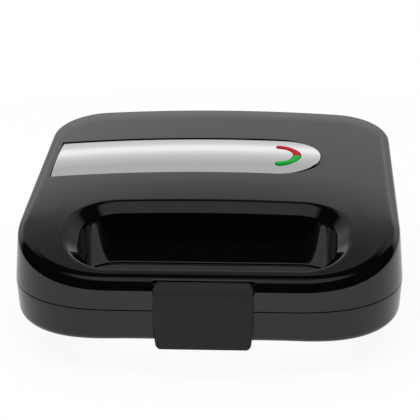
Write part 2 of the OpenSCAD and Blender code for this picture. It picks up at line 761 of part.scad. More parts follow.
// Half-ring hole that both lenses drop into
module lens_slot() {
  translate([lens_c[0], lens_c[1], board_z]) rotate([0, 0, -90 - lens_gap])
    rotate_extrude(angle = 180 + 2 * lens_gap)
      translate([lens_r0 - slip, 0]) square([lens_r1 - lens_r0 + 2 * slip, 40]);
}

module trim_strip() {
  placed("#c8c9cb") difference() {
    intersection() {
      strip_sheet(proud - strip_t, proud);
      linear_extrude(2 * roof_h) strip_plan(0);
    }
    lens_slot();
  }
}

// Lens through the strip, standing on the board's rim
module lens(side, shade) {
  top = lid_top(lens_c[0], lens_c[1]) + 0.2 - board_z;
  placed(shade) translate([lens_c[0], lens_c[1], board_z]) {
    rotate([0, 0, side ? -90 : lens_gap]) rotate_extrude(angle = 90 - lens_gap)
      polygon([[lens_r0, top - 6], [lens_r1, top - 6], [lens_r1, top], [lens_r0, top]]);
    rotate([0, 0, side ? -60 : 30]) rotate_extrude(angle = 30)
      polygon([[lens_r0 + 1, 1.6], [lens_r1 - 1, 1.6], [lens_r1 - 1, top - 5], [lens_r0 + 1, top - 5]]);
  }
}

module power_lens() { lens(0, "#c01822"); }
module ready_lens() { lens(180, "#1f9a3a"); }

module lamp_board() {
  placed("#8a7a4a") translate([lens_c[0], lens_c[1], board_z]) difference() {
    translate([-board[0] / 2, -board[1] / 2, 0]) cube([board[0], board[1], board_t]);
    for (s = [-1, 1]) translate([s * (board[0] / 2 - 5), 0, -1]) cylinder(r = 1.7, h = 4);
  }
}

module lamp_board_screws() {
  placed("#b9bbbd") for (p = lamp_posts) translate([p[0], p[1], board_z]) {
    translate([0, 0, -1.5]) cylinder(r = 2.6, h = 1.5);
    translate([0, 0, -0.1]) cylinder(r = 1.18, h = board_t + 6.1);
  }
}

// Neon lamp lying on the board beside its lens
module lamp(s) {
  placed("#f0a060") translate([lens_c[0] + 2, lens_c[1] + s * 6, board_z + board_t + 2.5]) {
    rod_x(-13, -1, 2.5);
    translate([-1, 0, 0]) sphere(r = 2.5);
    for (w = [-1, 1]) translate([0, w, 0]) rod_x(-18, -13, 0.4);
  }
}

module power_lamp() { lamp(1); }
module ready_lamp() { lamp(-1); }

// ---- latch ----

module latch_pin() {
  placed("#b9bbbd") translate([0, latch_y, latch_z]) rod_x(-pad_w / 2 + 1.2, pad_w / 2 - 1.2, latch_pin_r);
}

module latch() {
  placed("#1a1a1a") difference() {
    intersection() {
      union() {
        translate([0, latch_y, latch_z]) rod_x(-latch_w / 2, latch_w / 2, barrel_r);
        translate([-latch_w / 2, 0, 0]) rotate([90, 0, 90]) linear_extrude(latch_w) latch_side();
      }
      translate([0, 20, 0]) rotate([90, 0, 0]) linear_extrude(40)
        polygon(rounded([
          [-latch_w / 2, latch_top], [-latch_w / 2, -13], [-latch_w / 2 + 1.4, -latch_drop - 0.5],
          [latch_w / 2 - 1.4, -latch_drop - 0.5], [latch_w / 2, -13], [latch_w / 2, latch_top]
        ], 0, latch_corner));
    }
    translate([0, latch_y, latch_z]) rod_x(-latch_w, latch_w, latch_pin_r + run);
  }
}

base_housing();
lower_plate();
lower_heater();
lower_reflector();
lower_plate_screws();
thermal_fuse();
terminal_block();
cord_gland();
cord_clamp();
cord_clamp_screws();
foot_front_left();
foot_front_right();
foot_rear_left();
foot_rear_right();
hinge_pin_left();
hinge_pin_right();
lid_housing();
trim_strip();
power_lens();
ready_lens();
lamp_board();
lamp_board_screws();
power_lamp();
ready_lamp();
upper_plate();
upper_heater();
upper_reflector();
upper_plate_screws();
thermostat();
latch_pin();
latch();
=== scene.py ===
"""Looks of a sandwich toaster with a hinged lid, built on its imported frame.

Lengths inside the builders are millimetres in the seam's frame: X to the right, Y = 0 at the
front of the seam, Z = 0 in the middle of the seam. Place turns them into the row's metres.
A size named _soft is how far each corner of a line is rounded, one named _steps or _points says
how finely a round stretch is divided, and one named sharp is the angle of edges that stay sharp.
"""

import enum
import logging
import math
from collections.abc import Callable, Sequence
from dataclasses import dataclass

import bmesh
import bpy
import numpy as np
from mathutils import Matrix, Vector

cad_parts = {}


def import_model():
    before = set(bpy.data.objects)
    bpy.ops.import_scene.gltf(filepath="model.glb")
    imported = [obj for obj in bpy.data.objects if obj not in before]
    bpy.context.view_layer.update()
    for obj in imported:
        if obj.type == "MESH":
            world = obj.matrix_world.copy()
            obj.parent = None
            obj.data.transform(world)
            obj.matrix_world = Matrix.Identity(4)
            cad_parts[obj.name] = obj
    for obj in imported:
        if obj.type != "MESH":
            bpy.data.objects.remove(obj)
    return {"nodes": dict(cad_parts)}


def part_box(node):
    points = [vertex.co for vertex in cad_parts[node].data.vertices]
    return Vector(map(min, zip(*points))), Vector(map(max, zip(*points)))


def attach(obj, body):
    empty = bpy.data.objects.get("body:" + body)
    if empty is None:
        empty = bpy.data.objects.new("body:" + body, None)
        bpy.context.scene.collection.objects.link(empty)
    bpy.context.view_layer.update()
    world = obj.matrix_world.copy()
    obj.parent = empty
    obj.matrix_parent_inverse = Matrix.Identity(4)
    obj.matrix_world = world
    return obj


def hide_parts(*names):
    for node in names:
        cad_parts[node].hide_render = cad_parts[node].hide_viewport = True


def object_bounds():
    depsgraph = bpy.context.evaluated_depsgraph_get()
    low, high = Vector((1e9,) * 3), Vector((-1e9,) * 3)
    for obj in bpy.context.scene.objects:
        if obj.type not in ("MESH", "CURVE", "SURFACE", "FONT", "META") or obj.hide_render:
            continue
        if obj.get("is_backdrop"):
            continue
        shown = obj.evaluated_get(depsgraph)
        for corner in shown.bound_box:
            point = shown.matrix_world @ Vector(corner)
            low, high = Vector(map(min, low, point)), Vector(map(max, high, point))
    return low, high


log = logging.getLogger("toaster")

# Millimetres in a metre, and how far the hinge's axis lies behind the housings' rear wall.
METRE = 1000
HINGE_BEHIND = 7

Value = float | np.ndarray
Pair = tuple[float, float]
Triple = tuple[float, float, float]
Numbers = tuple[float, ...]
Points = Sequence[Sequence[float]] | np.ndarray
Inputs = dict[int | str, object]


class Body(enum.Enum):
    """Bodies of the frame that pieces ride on."""

    BASE = "base"
    LID = "lid"
    LATCH = "latch"


class Axis(enum.IntEnum):
    """Axes of the frame."""

    X = 0
    Y = 1
    Z = 2


class Cut(enum.Enum):
    """What a tool does to an object."""

    AWAY = "DIFFERENCE"
    JOIN = "UNION"
    CROSS = "INTERSECT"


class Slot(enum.Enum):
    """Material slots of the record."""

    GLOSS = "gloss_black"
    MATTE = "matte_black"
    NON_STICK = "non_stick"
    HEATER = "heater_steel"
    SHEET = "bright_sheet"
    SCREW = "screw_steel"
    CERAMIC = "ceramic"
    RUBBER = "black_rubber"
    SATIN = "satin_silver"
    RED = "red_lens"
    GREEN = "green_lens"
    BOARD = "board"
    LAMP = "lamp_glass"


# ---- where and how large ----


@dataclass(frozen=True)
class Place:
    """Where the seam's frame lies in the row's frame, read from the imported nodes.

    Args:
        front_y: Front of the seam along the row's Y, in millimetres.
        seam_z: Height of the seam.
        half_w: Half of the housing's width.
        depth: Depth of the housing.
        hinge_y: Hinge axis behind the front of the seam.
    """

    front_y: float = 0.0
    seam_z: float = 0.0
    half_w: float = 0.0
    depth: float = 0.0
    hinge_y: float = 0.0

    @classmethod
    def read(cls) -> "Place":
        """Measures the housing, the hinge pin and a foot.

        Returns:
            The place of the seam's frame.
        """
        low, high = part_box("base_housing")
        pin_low, pin_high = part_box("hinge_pin_right")
        foot_low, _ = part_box("foot_front_right")
        front_y = low.y * METRE
        hinge_y = (pin_low.y + pin_high.y) / 2 * METRE - front_y
        return cls(
            front_y=front_y,
            seam_z=(pin_low.z + pin_high.z - 2 * foot_low.z) / 2 * METRE,
            half_w=(high.x - low.x) / 2 * METRE,
            depth=hinge_y - HINGE_BEHIND,
            hinge_y=hinge_y,
        )

    def row(self, points: Points) -> np.ndarray:
        """Turns points of the seam's frame, in millimetres, into the row's metres."""
        return (np.asarray(points, float) + (0, self.front_y, self.seam_z)) / METRE

    def node(self, name: str) -> tuple[np.ndarray, np.ndarray]:
        """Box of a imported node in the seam's frame.

        Args:
            name: The node.

        Returns:
            Its lowest and highest corner, in millimetres.
        """
        low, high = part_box(name)
        shift = np.array((0, self.front_y, self.seam_z))
        return np.array(low) * METRE - shift, np.array(high) * METRE - shift


ORIGIN = Place()


def mix(a: Value, b: Value, t: Value) -> Value:
    """Straight blend from a to b."""
    return a + (b - a) * t


def smooth_step(t: Value) -> Value:
    """Eased step from 0 to 1."""
    u = np.clip(t, 0, 1)
    return u * u * (3 - 2 * u)


def turned(centre: Pair, radius: float, angles: np.ndarray) -> np.ndarray:
    """Points at a radius around a centre, at angles in radians."""
    return np.stack((centre[0] + radius * np.cos(angles), centre[1] + radius * np.sin(angles)), 1)


def circle(centre: Pair, radius: float, sides: int = 48) -> np.ndarray:
    """Points of a circle in a plane."""
    return turned(centre, radius, np.linspace(0, 2 * np.pi, sides, endpoint=False))


def grey(value: float) -> tuple[float, float, float, float]:
    """Opaque grey of a linear value."""
    return (value, value, value, 1)


def level(ring: np.ndarray, z: Value) -> np.ndarray:
    """A flat outline at a height, which may differ from point to point."""
    return np.column_stack((ring, np.broadcast_to(z, len(ring))))


def soften(points: Points, radii: Sequence[float], steps: int = 6) -> np.ndarray:
    """Rounds the corners of an open line.

    Args:
        points: Corners of the line.
        radii: How far each corner's rounding reaches along its two sides, which is at most
            about half of each; 0 keeps the corner.
        steps: Segments in one rounding.

    Returns:
        The points of the rounded line.
    """
    most = 0.49
    p = np.asarray(points, float)
    line = [p[0]]
    for k in range(1, len(p) - 1):
        if radii[k] <= 0:
            line.append(p[k])
            continue
        ends = []
        for other in (p[k - 1], p[k + 1]):
            side = other - p[k]
            reach = min(radii[k], most * np.linalg.norm(side))
            ends.append(p[k] + side / np.linalg.norm(side) * reach)
        for t in np.linspace(0, 1, steps + 1):
            line.append((1 - t) ** 2 * ends[0] + 2 * t * (1 - t) * p[k] + t * t * ends[1])
    line.append(p[-1])
    return np.array(line)


def rounded_polygon(points: Points, inset: float, radius: float, steps: int = 8) -> np.ndarray:
    """Convex outline drawn in by inset, with round corners.

    Args:
        points: Corners, anticlockwise.
        inset: How far every side moves in.
        radius: Radius of the corners.
        steps: Segments in a corner.

    Returns:
        The outline's points.
    """
    p = np.asarray(points, float)
    side = np.roll(p, -1, 0) - p
    side /= np.linalg.norm(side, axis=1)[:, None]
    normal = np.stack((side[:, 1], -side[:, 0]), 1)
    out = []
    for i, corner in enumerate(p):
        a, b = normal[i - 1], normal[i]
        centre = corner - (inset + radius) * (a + b) / (1 + a @ b)
        start = math.atan2(a[1], a[0])
        turn = (math.atan2(b[1], b[0]) - start) % (2 * math.pi)
        out.append(turned(centre, radius, start + turn * np.arange(steps + 1) / steps))
    return np.concatenate(out)


# ---- meshes ----


def new_mesh(name: str, points: np.ndarray, faces: Sequence[tuple[int, ...]]) -> bpy.types.Mesh:
    """Makes a mesh.

    Args:
        name: Name of the mesh.
        points: Its vertices, in metres.
        faces: Its faces, as tuples of vertex numbers.

    Returns:
        The mesh.
    """
    mesh = bpy.data.meshes.new(name)
    mesh.from_pydata(points.tolist(), [], faces)
    return mesh


def new_object(name: str, data: bpy.types.ID) -> bpy.types.Object:
    """Makes an object and puts it in the scene.

    Args:
        name: Name of the object.
        data: What it shows: a mesh, a lamp or a camera.

    Returns:
        The object.
    """
    made = bpy.data.objects.new(name, data)
    bpy.context.scene.collection.objects.link(made)
    return made


def use_up(made: bpy.types.Object) -> None:
    """Removes an object and its mesh.

    Args:
        made: The object.
    """
    mesh = made.data
    bpy.data.objects.remove(made)
    bpy.data.meshes.remove(mesh)


class Piece:
    """Collects vertices and faces in the seam's frame and turns them into an object."""

    def __init__(self, place: Place) -> None:
        """Starts an empty piece.

        Args:
            place: Where the seam's frame lies.
        """
        self.place = place
        self.points: list[np.ndarray] = []
        self.faces: list[tuple[int, ...]] = []
        self.count = 0

    def add(self, points: Points, faces: Sequence[tuple[int, ...]]) -> "Piece":
        """Adds a shell.

        Args:
            points: Its vertices.
            faces: Its faces, as tuples of vertex numbers.

        Returns:
            The piece itself.
        """
        points = np.asarray(points, float)
        self.faces += [tuple(i + self.count for i in f) for f in faces]
        self.points.append(points)
        self.count += len(points)
        return self

    def join(self, other: "Piece") -> "Piece":
        """Adds the shells of another piece."""
        return self.add(np.concatenate(other.points), other.faces)

    def loft(self, rings: Sequence[np.ndarray], closed: bool = False) -> "Piece":
        """Adds a skin through a stack of rings of equal length.

        Args:
            rings: Rings of points.
            closed: Whether the last ring joins the first; otherwise both ends are capped.

        Returns:
            The piece itself.
        """
        k, m = len(rings), len(rings[0])
        faces = []
        for i in range(k if closed else k - 1):
            n = (i + 1) % k
            for j in range(m):
                h = (j + 1) % m
                faces.append((i * m + j, i * m + h, n * m + h, n * m + j))
        if not closed:
            faces.append(tuple(range(m - 1, -1, -1)))
            faces.append(tuple((k - 1) * m + j for j in range(m)))
        return self.add(np.concatenate(rings), faces)

    def extrude(self, outline: Points, axis: Axis, low: float, high: float) -> "Piece":
        """Adds a prism between two places on an axis, with its outline in the two other axes."""
        return self.loft([np.insert(np.asarray(outline, float), axis, v, axis=1) for v in (low, high)])

    def rod(
        self,
        axis: Axis,
        centre: Pair,
        low: float,
        high: float,
        radius: float | Pair,
        sides: int = 48,
    ) -> "Piece":
        """Adds a round rod between two places on an axis, or a cone where it has two radii."""
        ends = zip((low, high), radius if isinstance(radius, tuple) else (radius, radius))
        return self.loft([np.insert(circle(centre, r, sides), axis, v, axis=1) for v, r in ends])

    def build(self, name: str, sharp: float = 32) -> bpy.types.Object:
        """Makes the object in the row's frame, with normals outward.

        Args:
            name: Name of the object.
            sharp: Edges that turn by more degrees than this stay sharp.

        Returns:
            The object, with its place in its mesh.
        """
        mesh = new_mesh(name, self.place.row(np.concatenate(self.points)), self.faces)
        work = bmesh.new()
        work.from_mesh(mesh)
        bmesh.ops.recalc_face_normals(work, faces=work.faces)
        work.to_mesh(mesh)
        work.free()
        shade(mesh, sharp)
        return new_object(name, mesh)


def shade(mesh: bpy.types.Mesh, sharp: float) -> None:
    """Shades a mesh smooth, except at edges that turn by more than so many degrees."""
    mesh.shade_smooth()
    mesh.set_sharp_from_angle(angle=math.radians(sharp))


def settle(made: bpy.types.Object, sharp: float | None = None) -> bpy.types.Object:
    """Puts what an object's modifiers make into its mesh, and removes them.

    Args:
        made: The object.
        sharp: Angle of sharp edges, where the mesh is shaded again.

    Returns:
        The same object with a plain mesh.
    """
    bpy.context.view_layer.update()
    view = made.evaluated_get(bpy.context.evaluated_depsgraph_get())
    mesh = bpy.data.meshes.new_from_object(view)
    old = made.data
    made.modifiers.clear()
    mesh.name = old.name
    made.data = mesh
    bpy.data.meshes.remove(old)
    if sharp is not None:
        shade(mesh, sharp)
    return made


def carve(
    made: bpy.types.Object,
    tools: Sequence[bpy.types.Object],
    cut: Cut = Cut.AWAY,
    sharp: float = 32,
) -> bpy.types.Object:
    """Cuts, joins or crosses an object with tools, which are used up.

    Args:
        made: The object.
        tools: Objects to cut with.
        cut: What the tools do.
        sharp: Angle of sharp edges afterwards.

    Returns:
        The same object.
    """
    for tool in tools:
        step = made.modifiers.new("cut", "BOOLEAN")
        step.operation = cut.value
        step.solver = "EXACT"
        step.object = tool
    settle(made, sharp)
    for tool in tools:
        use_up(tool)
    return made


def soften_edges(
    made: bpy.types.Object,
    width: float,
    segments: int = 2,
    limit: float = 50,
    sharp: float = 40,
) -> bpy.types.Object:
    """Rounds the sharp edges of an object.

    Args:
        made: The object.
        width: Width of the rounding in millimetres.
        segments: Segments of the rounding.
        limit: Edges that turn by more degrees than this are rounded.
        sharp: Angle of the edges that stay sharp afterwards.

    Returns:
        The same object.
    """
    step = made.modifiers.new("round", "BEVEL")
    step.width = width / METRE
    step.segments = segments
    step.limit_method = "ANGLE"
    step.angle_limit = math.radians(limit)
    step.harden_normals = False
    return settle(made, sharp)


# ---- node trees ----


def feed(tree: bpy.types.NodeTree, node: bpy.types.Node, inputs: Inputs) -> None:
    """Sets or links inputs of a node.

    Args:
        tree: The node's tree.
        node: The node.
        inputs: A value or an output of another node for each named or numbered input.
    """
    for key, value in inputs.items():
        if isinstance(value, bpy.types.NodeSocket):
            tree.links.new(value, node.inputs[key])
        else:
            node.inputs[key].default_value = value


def add_node(
    tree: bpy.types.NodeTree, kind: str, inputs: Inputs | None = None, **settings: object
) -> bpy.types.Node:
    """Adds a node to a tree.

    Args:
        tree: The tree.
        kind: Blender's name of the node.
        inputs: What goes into it, as feed takes it.
        settings: Settings of the node.

    Returns:
        The node.
    """
    node = tree.nodes.new(kind)
    for name, value in settings.items():
        setattr(node, name, value)
    feed(tree, node, inputs or {})
    return node


def new_group(name: str, kind: str, inputs: dict[str, str], outputs: dict[str, str]) -> bpy.types.NodeTree:
    """Starts a node group with its sockets.

    Args:
        name: Name of the group.
        kind: Blender's name of its kind of tree.
        inputs: Kind of each named input.
        outputs: Kind of each named output.

    Returns:
        The group.
    """
    group = bpy.data.node_groups.new(name, kind)
    for way, sockets in (("INPUT", inputs), ("OUTPUT", outputs)):
        for label, socket in sockets.items():
            group.interface.new_socket(label, in_out=way, socket_type=socket)
    return group


REPEAT_GROUP = "set_on_points"


def repeat_group() -> bpy.types.NodeTree:
    """Geometry nodes that set one piece on every point, turned as asked.

    Returns:
        The node group.
    """
    group = bpy.data.node_groups.get(REPEAT_GROUP)
    if group:
        return group
    inputs = {
        "Points": "NodeSocketGeometry",
        "Piece": "NodeSocketObject",
        "Turn": "NodeSocketVector",
        "Material": "NodeSocketMaterial",
    }
    group = new_group(REPEAT_GROUP, "GeometryNodeTree", inputs, {"Geometry": "NodeSocketGeometry"})
    inside = add_node(group, "NodeGroupInput").outputs
    item = add_node(group, "GeometryNodeObjectInfo", {"Object": inside["Piece"]})
    turn = add_node(group, "FunctionNodeEulerToRotation", {0: inside["Turn"]})
    places = {"Points": inside["Points"], "Instance": item.outputs["Geometry"], "Rotation": turn.outputs[0]}
    spread = add_node(group, "GeometryNodeInstanceOnPoints", places)
    real = add_node(group, "GeometryNodeRealizeInstances", {0: spread.outputs[0]})
    looks = {"Geometry": real.outputs[0], "Material": inside["Material"]}
    dressed = add_node(group, "GeometryNodeSetMaterial", looks)
    add_node(group, "NodeGroupOutput", {"Geometry": dressed.outputs[0]})
    return group


def set_on_points(
    name: str,
    place: Place,
    item: bpy.types.Object,
    points: Points,
    slot: Slot,
    turn: Triple = (0.0, 0.0, 0.0),
) -> bpy.types.Object:
    """Sets a piece on points with geometry nodes and keeps the result as a plain mesh.

    Args:
        name: Name of the new object.
        place: Where the seam's frame lies.
        item: Piece to repeat, drawn about the origin in metres, which is used up.
        points: Places in the seam's frame, in millimetres.
        slot: Material slot of the pieces.
        turn: Angles about X, Y and Z in radians.

    Returns:
        The new object.
    """
    made = new_object(name, new_mesh(name, place.row(points), []))
    group = repeat_group()
    step = made.modifiers.new("repeat", "NODES")
    step.node_group = group
    values = {"Piece": item, "Turn": turn, "Material": material(FINISHES[slot])}
    for socket in group.interface.items_tree:
        if socket.name in values:
            step[socket.identifier] = values[socket.name]
    settle(made)
    use_up(item)
    return made


# ---- finishes ----


@dataclass(frozen=True)
class Finish:
    """Surface of a material.

    Args:
        name: Name of the material.
        colour: Linear base colour.
        rough: Roughness.
        metal: Metallic share.
        grain: Size of the fine grain in millimetres.
        relief: Height of the grain in millimetres.
        spread: How far the grain moves the roughness.
        shine: Level of the plain reflection.
    """

    name: str
    colour: Triple
    rough: float
    metal: float = 0.0
    grain: float = 1.0
    relief: float = 0.0
    spread: float = 0.0
    shine: float = 0.5


GRAIN_GROUP = "fine_grain"
GRAIN_DETAIL = 3
REFRACTION = 1.5


def grain_group() -> bpy.types.NodeTree:
    """Node group of a fine moulded or brushed grain.

    Returns:
        The group, which puts out a roughness and a height.
    """
    group = bpy.data.node_groups.get(GRAIN_GROUP)
    if group:
        return group
    inputs = dict.fromkeys(("Scale", "Roughness", "Spread"), "NodeSocketFloat")
    outputs = dict.fromkeys(("Roughness", "Height"), "NodeSocketFloat")
    group = new_group(GRAIN_GROUP, "ShaderNodeTree", inputs, outputs)
    inside = add_node(group, "NodeGroupInput").outputs
    where = add_node(group, "ShaderNodeTexCoord")
    drawn = {"Vector": where.outputs["Object"], "Scale": inside["Scale"], "Detail": GRAIN_DETAIL}
    noise = add_node(group, "ShaderNodeTexNoise", drawn)
    centred = add_node(group, "ShaderNodeMath", {0: noise.outputs["Fac"], 1: 0.5}, operation="SUBTRACT")
    terms = {0: centred.outputs[0], 1: inside["Spread"], 2: inside["Roughness"]}
    rough = add_node(group, "ShaderNodeMath", terms, operation="MULTIPLY_ADD")
    results = {"Roughness": rough.outputs[0], "Height": noise.outputs["Fac"]}
    add_node(group, "NodeGroupOutput", results)
    return group


def material(finish: Finish) -> bpy.types.Material:
    """Material of a finish, built once.

    Args:
        finish: The finish.

    Returns:
        The material.
    """
    label = f"{finish.name}_look"
    made = bpy.data.materials.get(label)
    if made:
        return made
    made = bpy.data.materials.new(label)
    made.use_nodes = True
    tree = made.node_tree
    shader = tree.nodes["Principled BSDF"]
    surface = {
        "Base Color": (*finish.colour, 1),
        "Roughness": finish.rough,
        "Metallic": finish.metal,
        "IOR": REFRACTION,
        "Specular IOR Level": finish.shine,
    }
    feed(tree, shader, surface)
    if not (finish.spread or finish.relief):
        return made
    sizes = {"Scale": METRE / finish.grain, "Roughness": finish.rough, "Spread": finish.spread}
    grain = add_node(tree, "ShaderNodeGroup", sizes, node_tree=grain_group())
    feed(tree, shader, {"Roughness": grain.outputs["Roughness"]})
    if finish.relief:
        height = {"Distance": finish.relief / METRE, "Height": grain.outputs["Height"]}
        bump = add_node(tree, "ShaderNodeBump", height)
        feed(tree, shader, {"Normal": bump.outputs["Normal"]})
    return made


FINISHES = {
    Slot.GLOSS: Finish("gloss_black", (0.0015, 0.0015, 0.0016), 0.07, grain=9, relief=0.002, spread=0.02),
    Slot.MATTE: Finish(
        "matte_black", (0.021, 0.021, 0.0215), 0.55, grain=0.5, relief=0.006, spread=0.06, shine=0.2
    ),
    Slot.NON_STICK: Finish("non_stick", (0.022, 0.022, 0.024), 0.34, grain=0.35, relief=0.012, spread=0.1),
    Slot.HEATER: Finish("heater_steel", (0.26, 0.24, 0.22), 0.42, metal=1, grain=1.5, spread=0.12),
    Slot.SHEET: Finish("bright_sheet", (0.78, 0.79, 0.8), 0.24, metal=1, grain=3, spread=0.08),
    Slot.SCREW: Finish("screw_steel", (0.6, 0.6, 0.61), 0.28, metal=1, spread=0.06),
    Slot.CERAMIC: Finish("ceramic", (0.78, 0.75, 0.69), 0.45, spread=0.06),
    Slot.RUBBER: Finish("black_rubber", (0.016, 0.016, 0.016), 0.62, grain=0.6, relief=0.01, spread=0.1),
    Slot.SATIN: Finish(
        "satin_silver", (0.97, 0.965, 0.96), 0.07, metal=1, grain=0.6, relief=0.001, spread=0.03
    ),
    Slot.RED: Finish("red_lens", (0.41, 0.008, 0.011), 0.12, shine=0.03),
    Slot.GREEN: Finish("green_lens", (0.009, 0.34, 0.035), 0.12, shine=0.03),
    Slot.BOARD: Finish("board", (0.24, 0.17, 0.06), 0.5, grain=2, spread=0.08),
    Slot.LAMP: Finish("lamp_glass", (0.86, 0.5, 0.26), 0.1),
}
BLACKENED = Finish("blackened_steel", (0.03, 0.03, 0.032), 0.4, metal=1, spread=0.06)

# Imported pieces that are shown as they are, under the finish that they get.
KEPT = {
    FINISHES[Slot.HEATER]: ("lower_heater", "upper_heater"),
    FINISHES[Slot.SHEET]: ("lower_reflector", "upper_reflector"),
    FINISHES[Slot.SCREW]: ("cord_clamp_screws", "lamp_board_screws", "thermal_fuse"),
    FINISHES[Slot.CERAMIC]: ("terminal_block", "thermostat"),
    FINISHES[Slot.MATTE]: ("cord_clamp",),
    FINISHES[Slot.RUBBER]: ("cord_gland",),
    FINISHES[Slot.BOARD]: ("lamp_board",),
    FINISHES[Slot.LAMP]: ("power_lamp", "ready_lamp"),
    BLACKENED: ("latch_pin", "hinge_pin_left", "hinge_pin_right"),
}


def paint(made: bpy.types.Object, finish: Finish) -> None:
    """Gives an object the material of a finish, and no other."""
    made.data.materials.clear()
    made.data.materials.append(material(finish))


def dress(made: bpy.types.Object, body: Body, slot: Slot, *nodes: str) -> bpy.types.Object:
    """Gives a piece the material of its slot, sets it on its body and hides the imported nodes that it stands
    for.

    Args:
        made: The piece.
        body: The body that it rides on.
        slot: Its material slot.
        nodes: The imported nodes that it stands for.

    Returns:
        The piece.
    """
    paint(made, FINISHES[slot])
    if nodes:
        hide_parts(*nodes)
    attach(made, body.value)
    log.info("%s: %d faces on %s", made.name, len(made.data.polygons), body.value)
    return made


# ---- the form of the housings ----


@dataclass(frozen=True)
class Form:
    """Curves that the housings, the strip and the plates share, in millimetres.

    The names follow the real piece: nose is the sloping front of the lid, roof its flatter
    rear, chin the raised front of the base and belly its flat underside. A belly_run, or a sag
    across or along, is where a change starts and the length over which it eases in. The hand
    opening's ends flare by flare at the first distance of flare_span and by nothing at the second.
    """

    place: Place
    front_r: float = 62.5
    rear_r: float = 36.0
    taper: float = 0.025
    power: float = 2.28
    nose_h: float = 17.7
    nose_slope: float = 0.285
    roof_h: float = 31.0
    roof_slope: float = 0.042
    bend: float = 1.2
    crown_h: float = 5.4
    crown_length: float = 110.0
    chin_h: float = 19.5
    belly_h: float = 30.0
    belly_run: Pair = (50.0, 40.0)
    corner_sag: float = 1.6
    sag_across: Pair = (40.0, 60.0)
    sag_along: Pair = (30.0, 50.0)
    flare: float = 1.7
    flare_span: Pair = (1.1, 7.2)
    grip_x: float = 76.7
    grip_y: Pair = (19.0, 72.0)
    grip_r: float = 22.0
    corner_steps: int = 30
    front_steps: int = 26
    side_steps: int = 34

    def lid_top(self, x: Value, y: Value) -> Value:
        """Height of the lid's top surface.

        Args:
            x: Distance from the middle.
            y: Distance behind the front.

        Returns:
            The height over the seam.
        """
        a = self.nose_h + self.nose_slope * y
        b = self.roof_h + self.roof_slope * y
        low = (a + b) / 2 - np.sqrt(((a - b) / 2) ** 2 + self.bend**2)
        return low + self.crown_h * smooth_step(y / self.crown_length) * (1 - (x / self.place.half_w) ** 2)

    def base_low(self, x: Value, y: Value) -> Value:
        """Depth of the base's underside, which hangs lower at the front corners.

        Args:
            x: Distance from the middle.
            y: Distance behind the front.

        Returns:
            The depth under the seam.
        """

        def eased(value: Value, run: Pair) -> Value:
            """Share of a run that is done at a value."""
            return smooth_step((value - run[0]) / run[1])

        sag = self.corner_sag * eased(np.abs(x), self.sag_across) * (1 - eased(y, self.sag_along))
        return self.chin_h + (self.belly_h - self.chin_h) * eased(y, self.belly_run) + sag

    def quarter(self, cx: float, cy: float, r: float, start: int, power: float = 2.0) -> np.ndarray:
        """Points along a quarter of a rounded corner.

        Args:
            cx: Its centre along X.
            cy: Its centre along Y.
            r: Its radius.
            start: Angle at which it starts, in quarters of a turn.
            power: 2 for a circle, and more for a fuller corner.

        Returns:
            The points.
        """
        a = np.linspace(0, np.pi / 2, self.corner_steps + 1)
        u = np.abs(np.cos(a)) ** (2 / power)
        v = np.abs(np.sin(a)) ** (2 / power)
        c, s = round(math.cos(start * math.pi / 2)), round(math.sin(start * math.pi / 2))
        return np.stack((cx + r * (c * u - s * v), cy + r * (s * u + c * v)), 1)

    def joined(self, corners: Sequence[np.ndarray]) -> np.ndarray:
        """Joins four corners by divided straight runs.

        Args:
            corners: The corners, anticlockwise from the front right.

        Returns:
            The whole outline.
        """
        out = []
        for k in range(4):
            a, b = corners[k], corners[(k + 1) % 4]
            n = self.side_steps if k % 2 == 0 else self.front_steps
            t = np.linspace(0, 1, n + 1)[1:-1, None]
            out += [a, mix(a[-1], b[0], t)]
        return np.concatenate(out)

    @property
    def rear_x(self) -> float:
        """Centre of the rear corners along X."""
        run = self.place.depth - self.rear_r - self.front_r
        return self.place.half_w - self.taper * run - self.rear_r

    def outline(self, d: float) -> np.ndarray:
        """Outline of the seam.

        Args:
            d: How far it is drawn in.

        Returns:
            The outline.
        """
        front_x, rear_y = self.place.half_w - self.front_r, self.place.depth - self.rear_r
        front, rear = self.front_r - d, self.rear_r - d
        return self.joined(
            [
                self.quarter(front_x, self.front_r, front, -1, self.power),
                self.quarter(self.rear_x, rear_y, rear, 0),
                self.quarter(-self.rear_x, rear_y, rear, 1),
                self.quarter(-front_x, self.front_r, front, 2, self.power),
            ]
        )

    def grip(self, d: float) -> np.ndarray:
        """Outline of the hand opening, whose ends narrow a little towards its walls.

        Args:
            d: How far it is let out.

        Returns:
            The outline.
        """
        near, far = self.flare_span
        flare = self.flare * min(1.0, max(0.0, (far - d) / (far - near)))
        cx, r = self.grip_x - self.grip_r - flare, self.grip_r
        y0, y1 = self.grip_y[0] + r, self.grip_y[1] - r
        corners = ((cx, y0), (cx, y1), (-cx, y1), (-cx, y0))
        return self.joined([self.quarter(x, y, r + d, k - 1) for k, (x, y) in enumerate(corners)])

    def grip_far(self, x: float, y: float) -> float:
        """Distance of a place from the wall of the hand opening.

        Args:
            x: Distance from the middle.
            y: Distance behind the front.

        Returns:
            The distance, below 0 inside the opening.
        """
        y0, y1 = self.grip_y
        share = self.flare_span[1] / (self.flare_span[1] + self.flare)
        across = (abs(x) - self.grip_x + self.grip_r + self.flare) * share
        along = abs(y - (y0 + y1) / 2) - (y1 - y0) / 2 + self.grip_r
        return math.hypot(max(0.0, across), max(0.0, along)) - self.grip_r

    def rear_y(self, x: float) -> float:
        """Rear wall at a distance x from the middle."""
        beside = max(0.0, x - self.rear_x)
        return self.place.depth - self.rear_r + math.sqrt(max(0.0, self.rear_r**2 - beside**2))

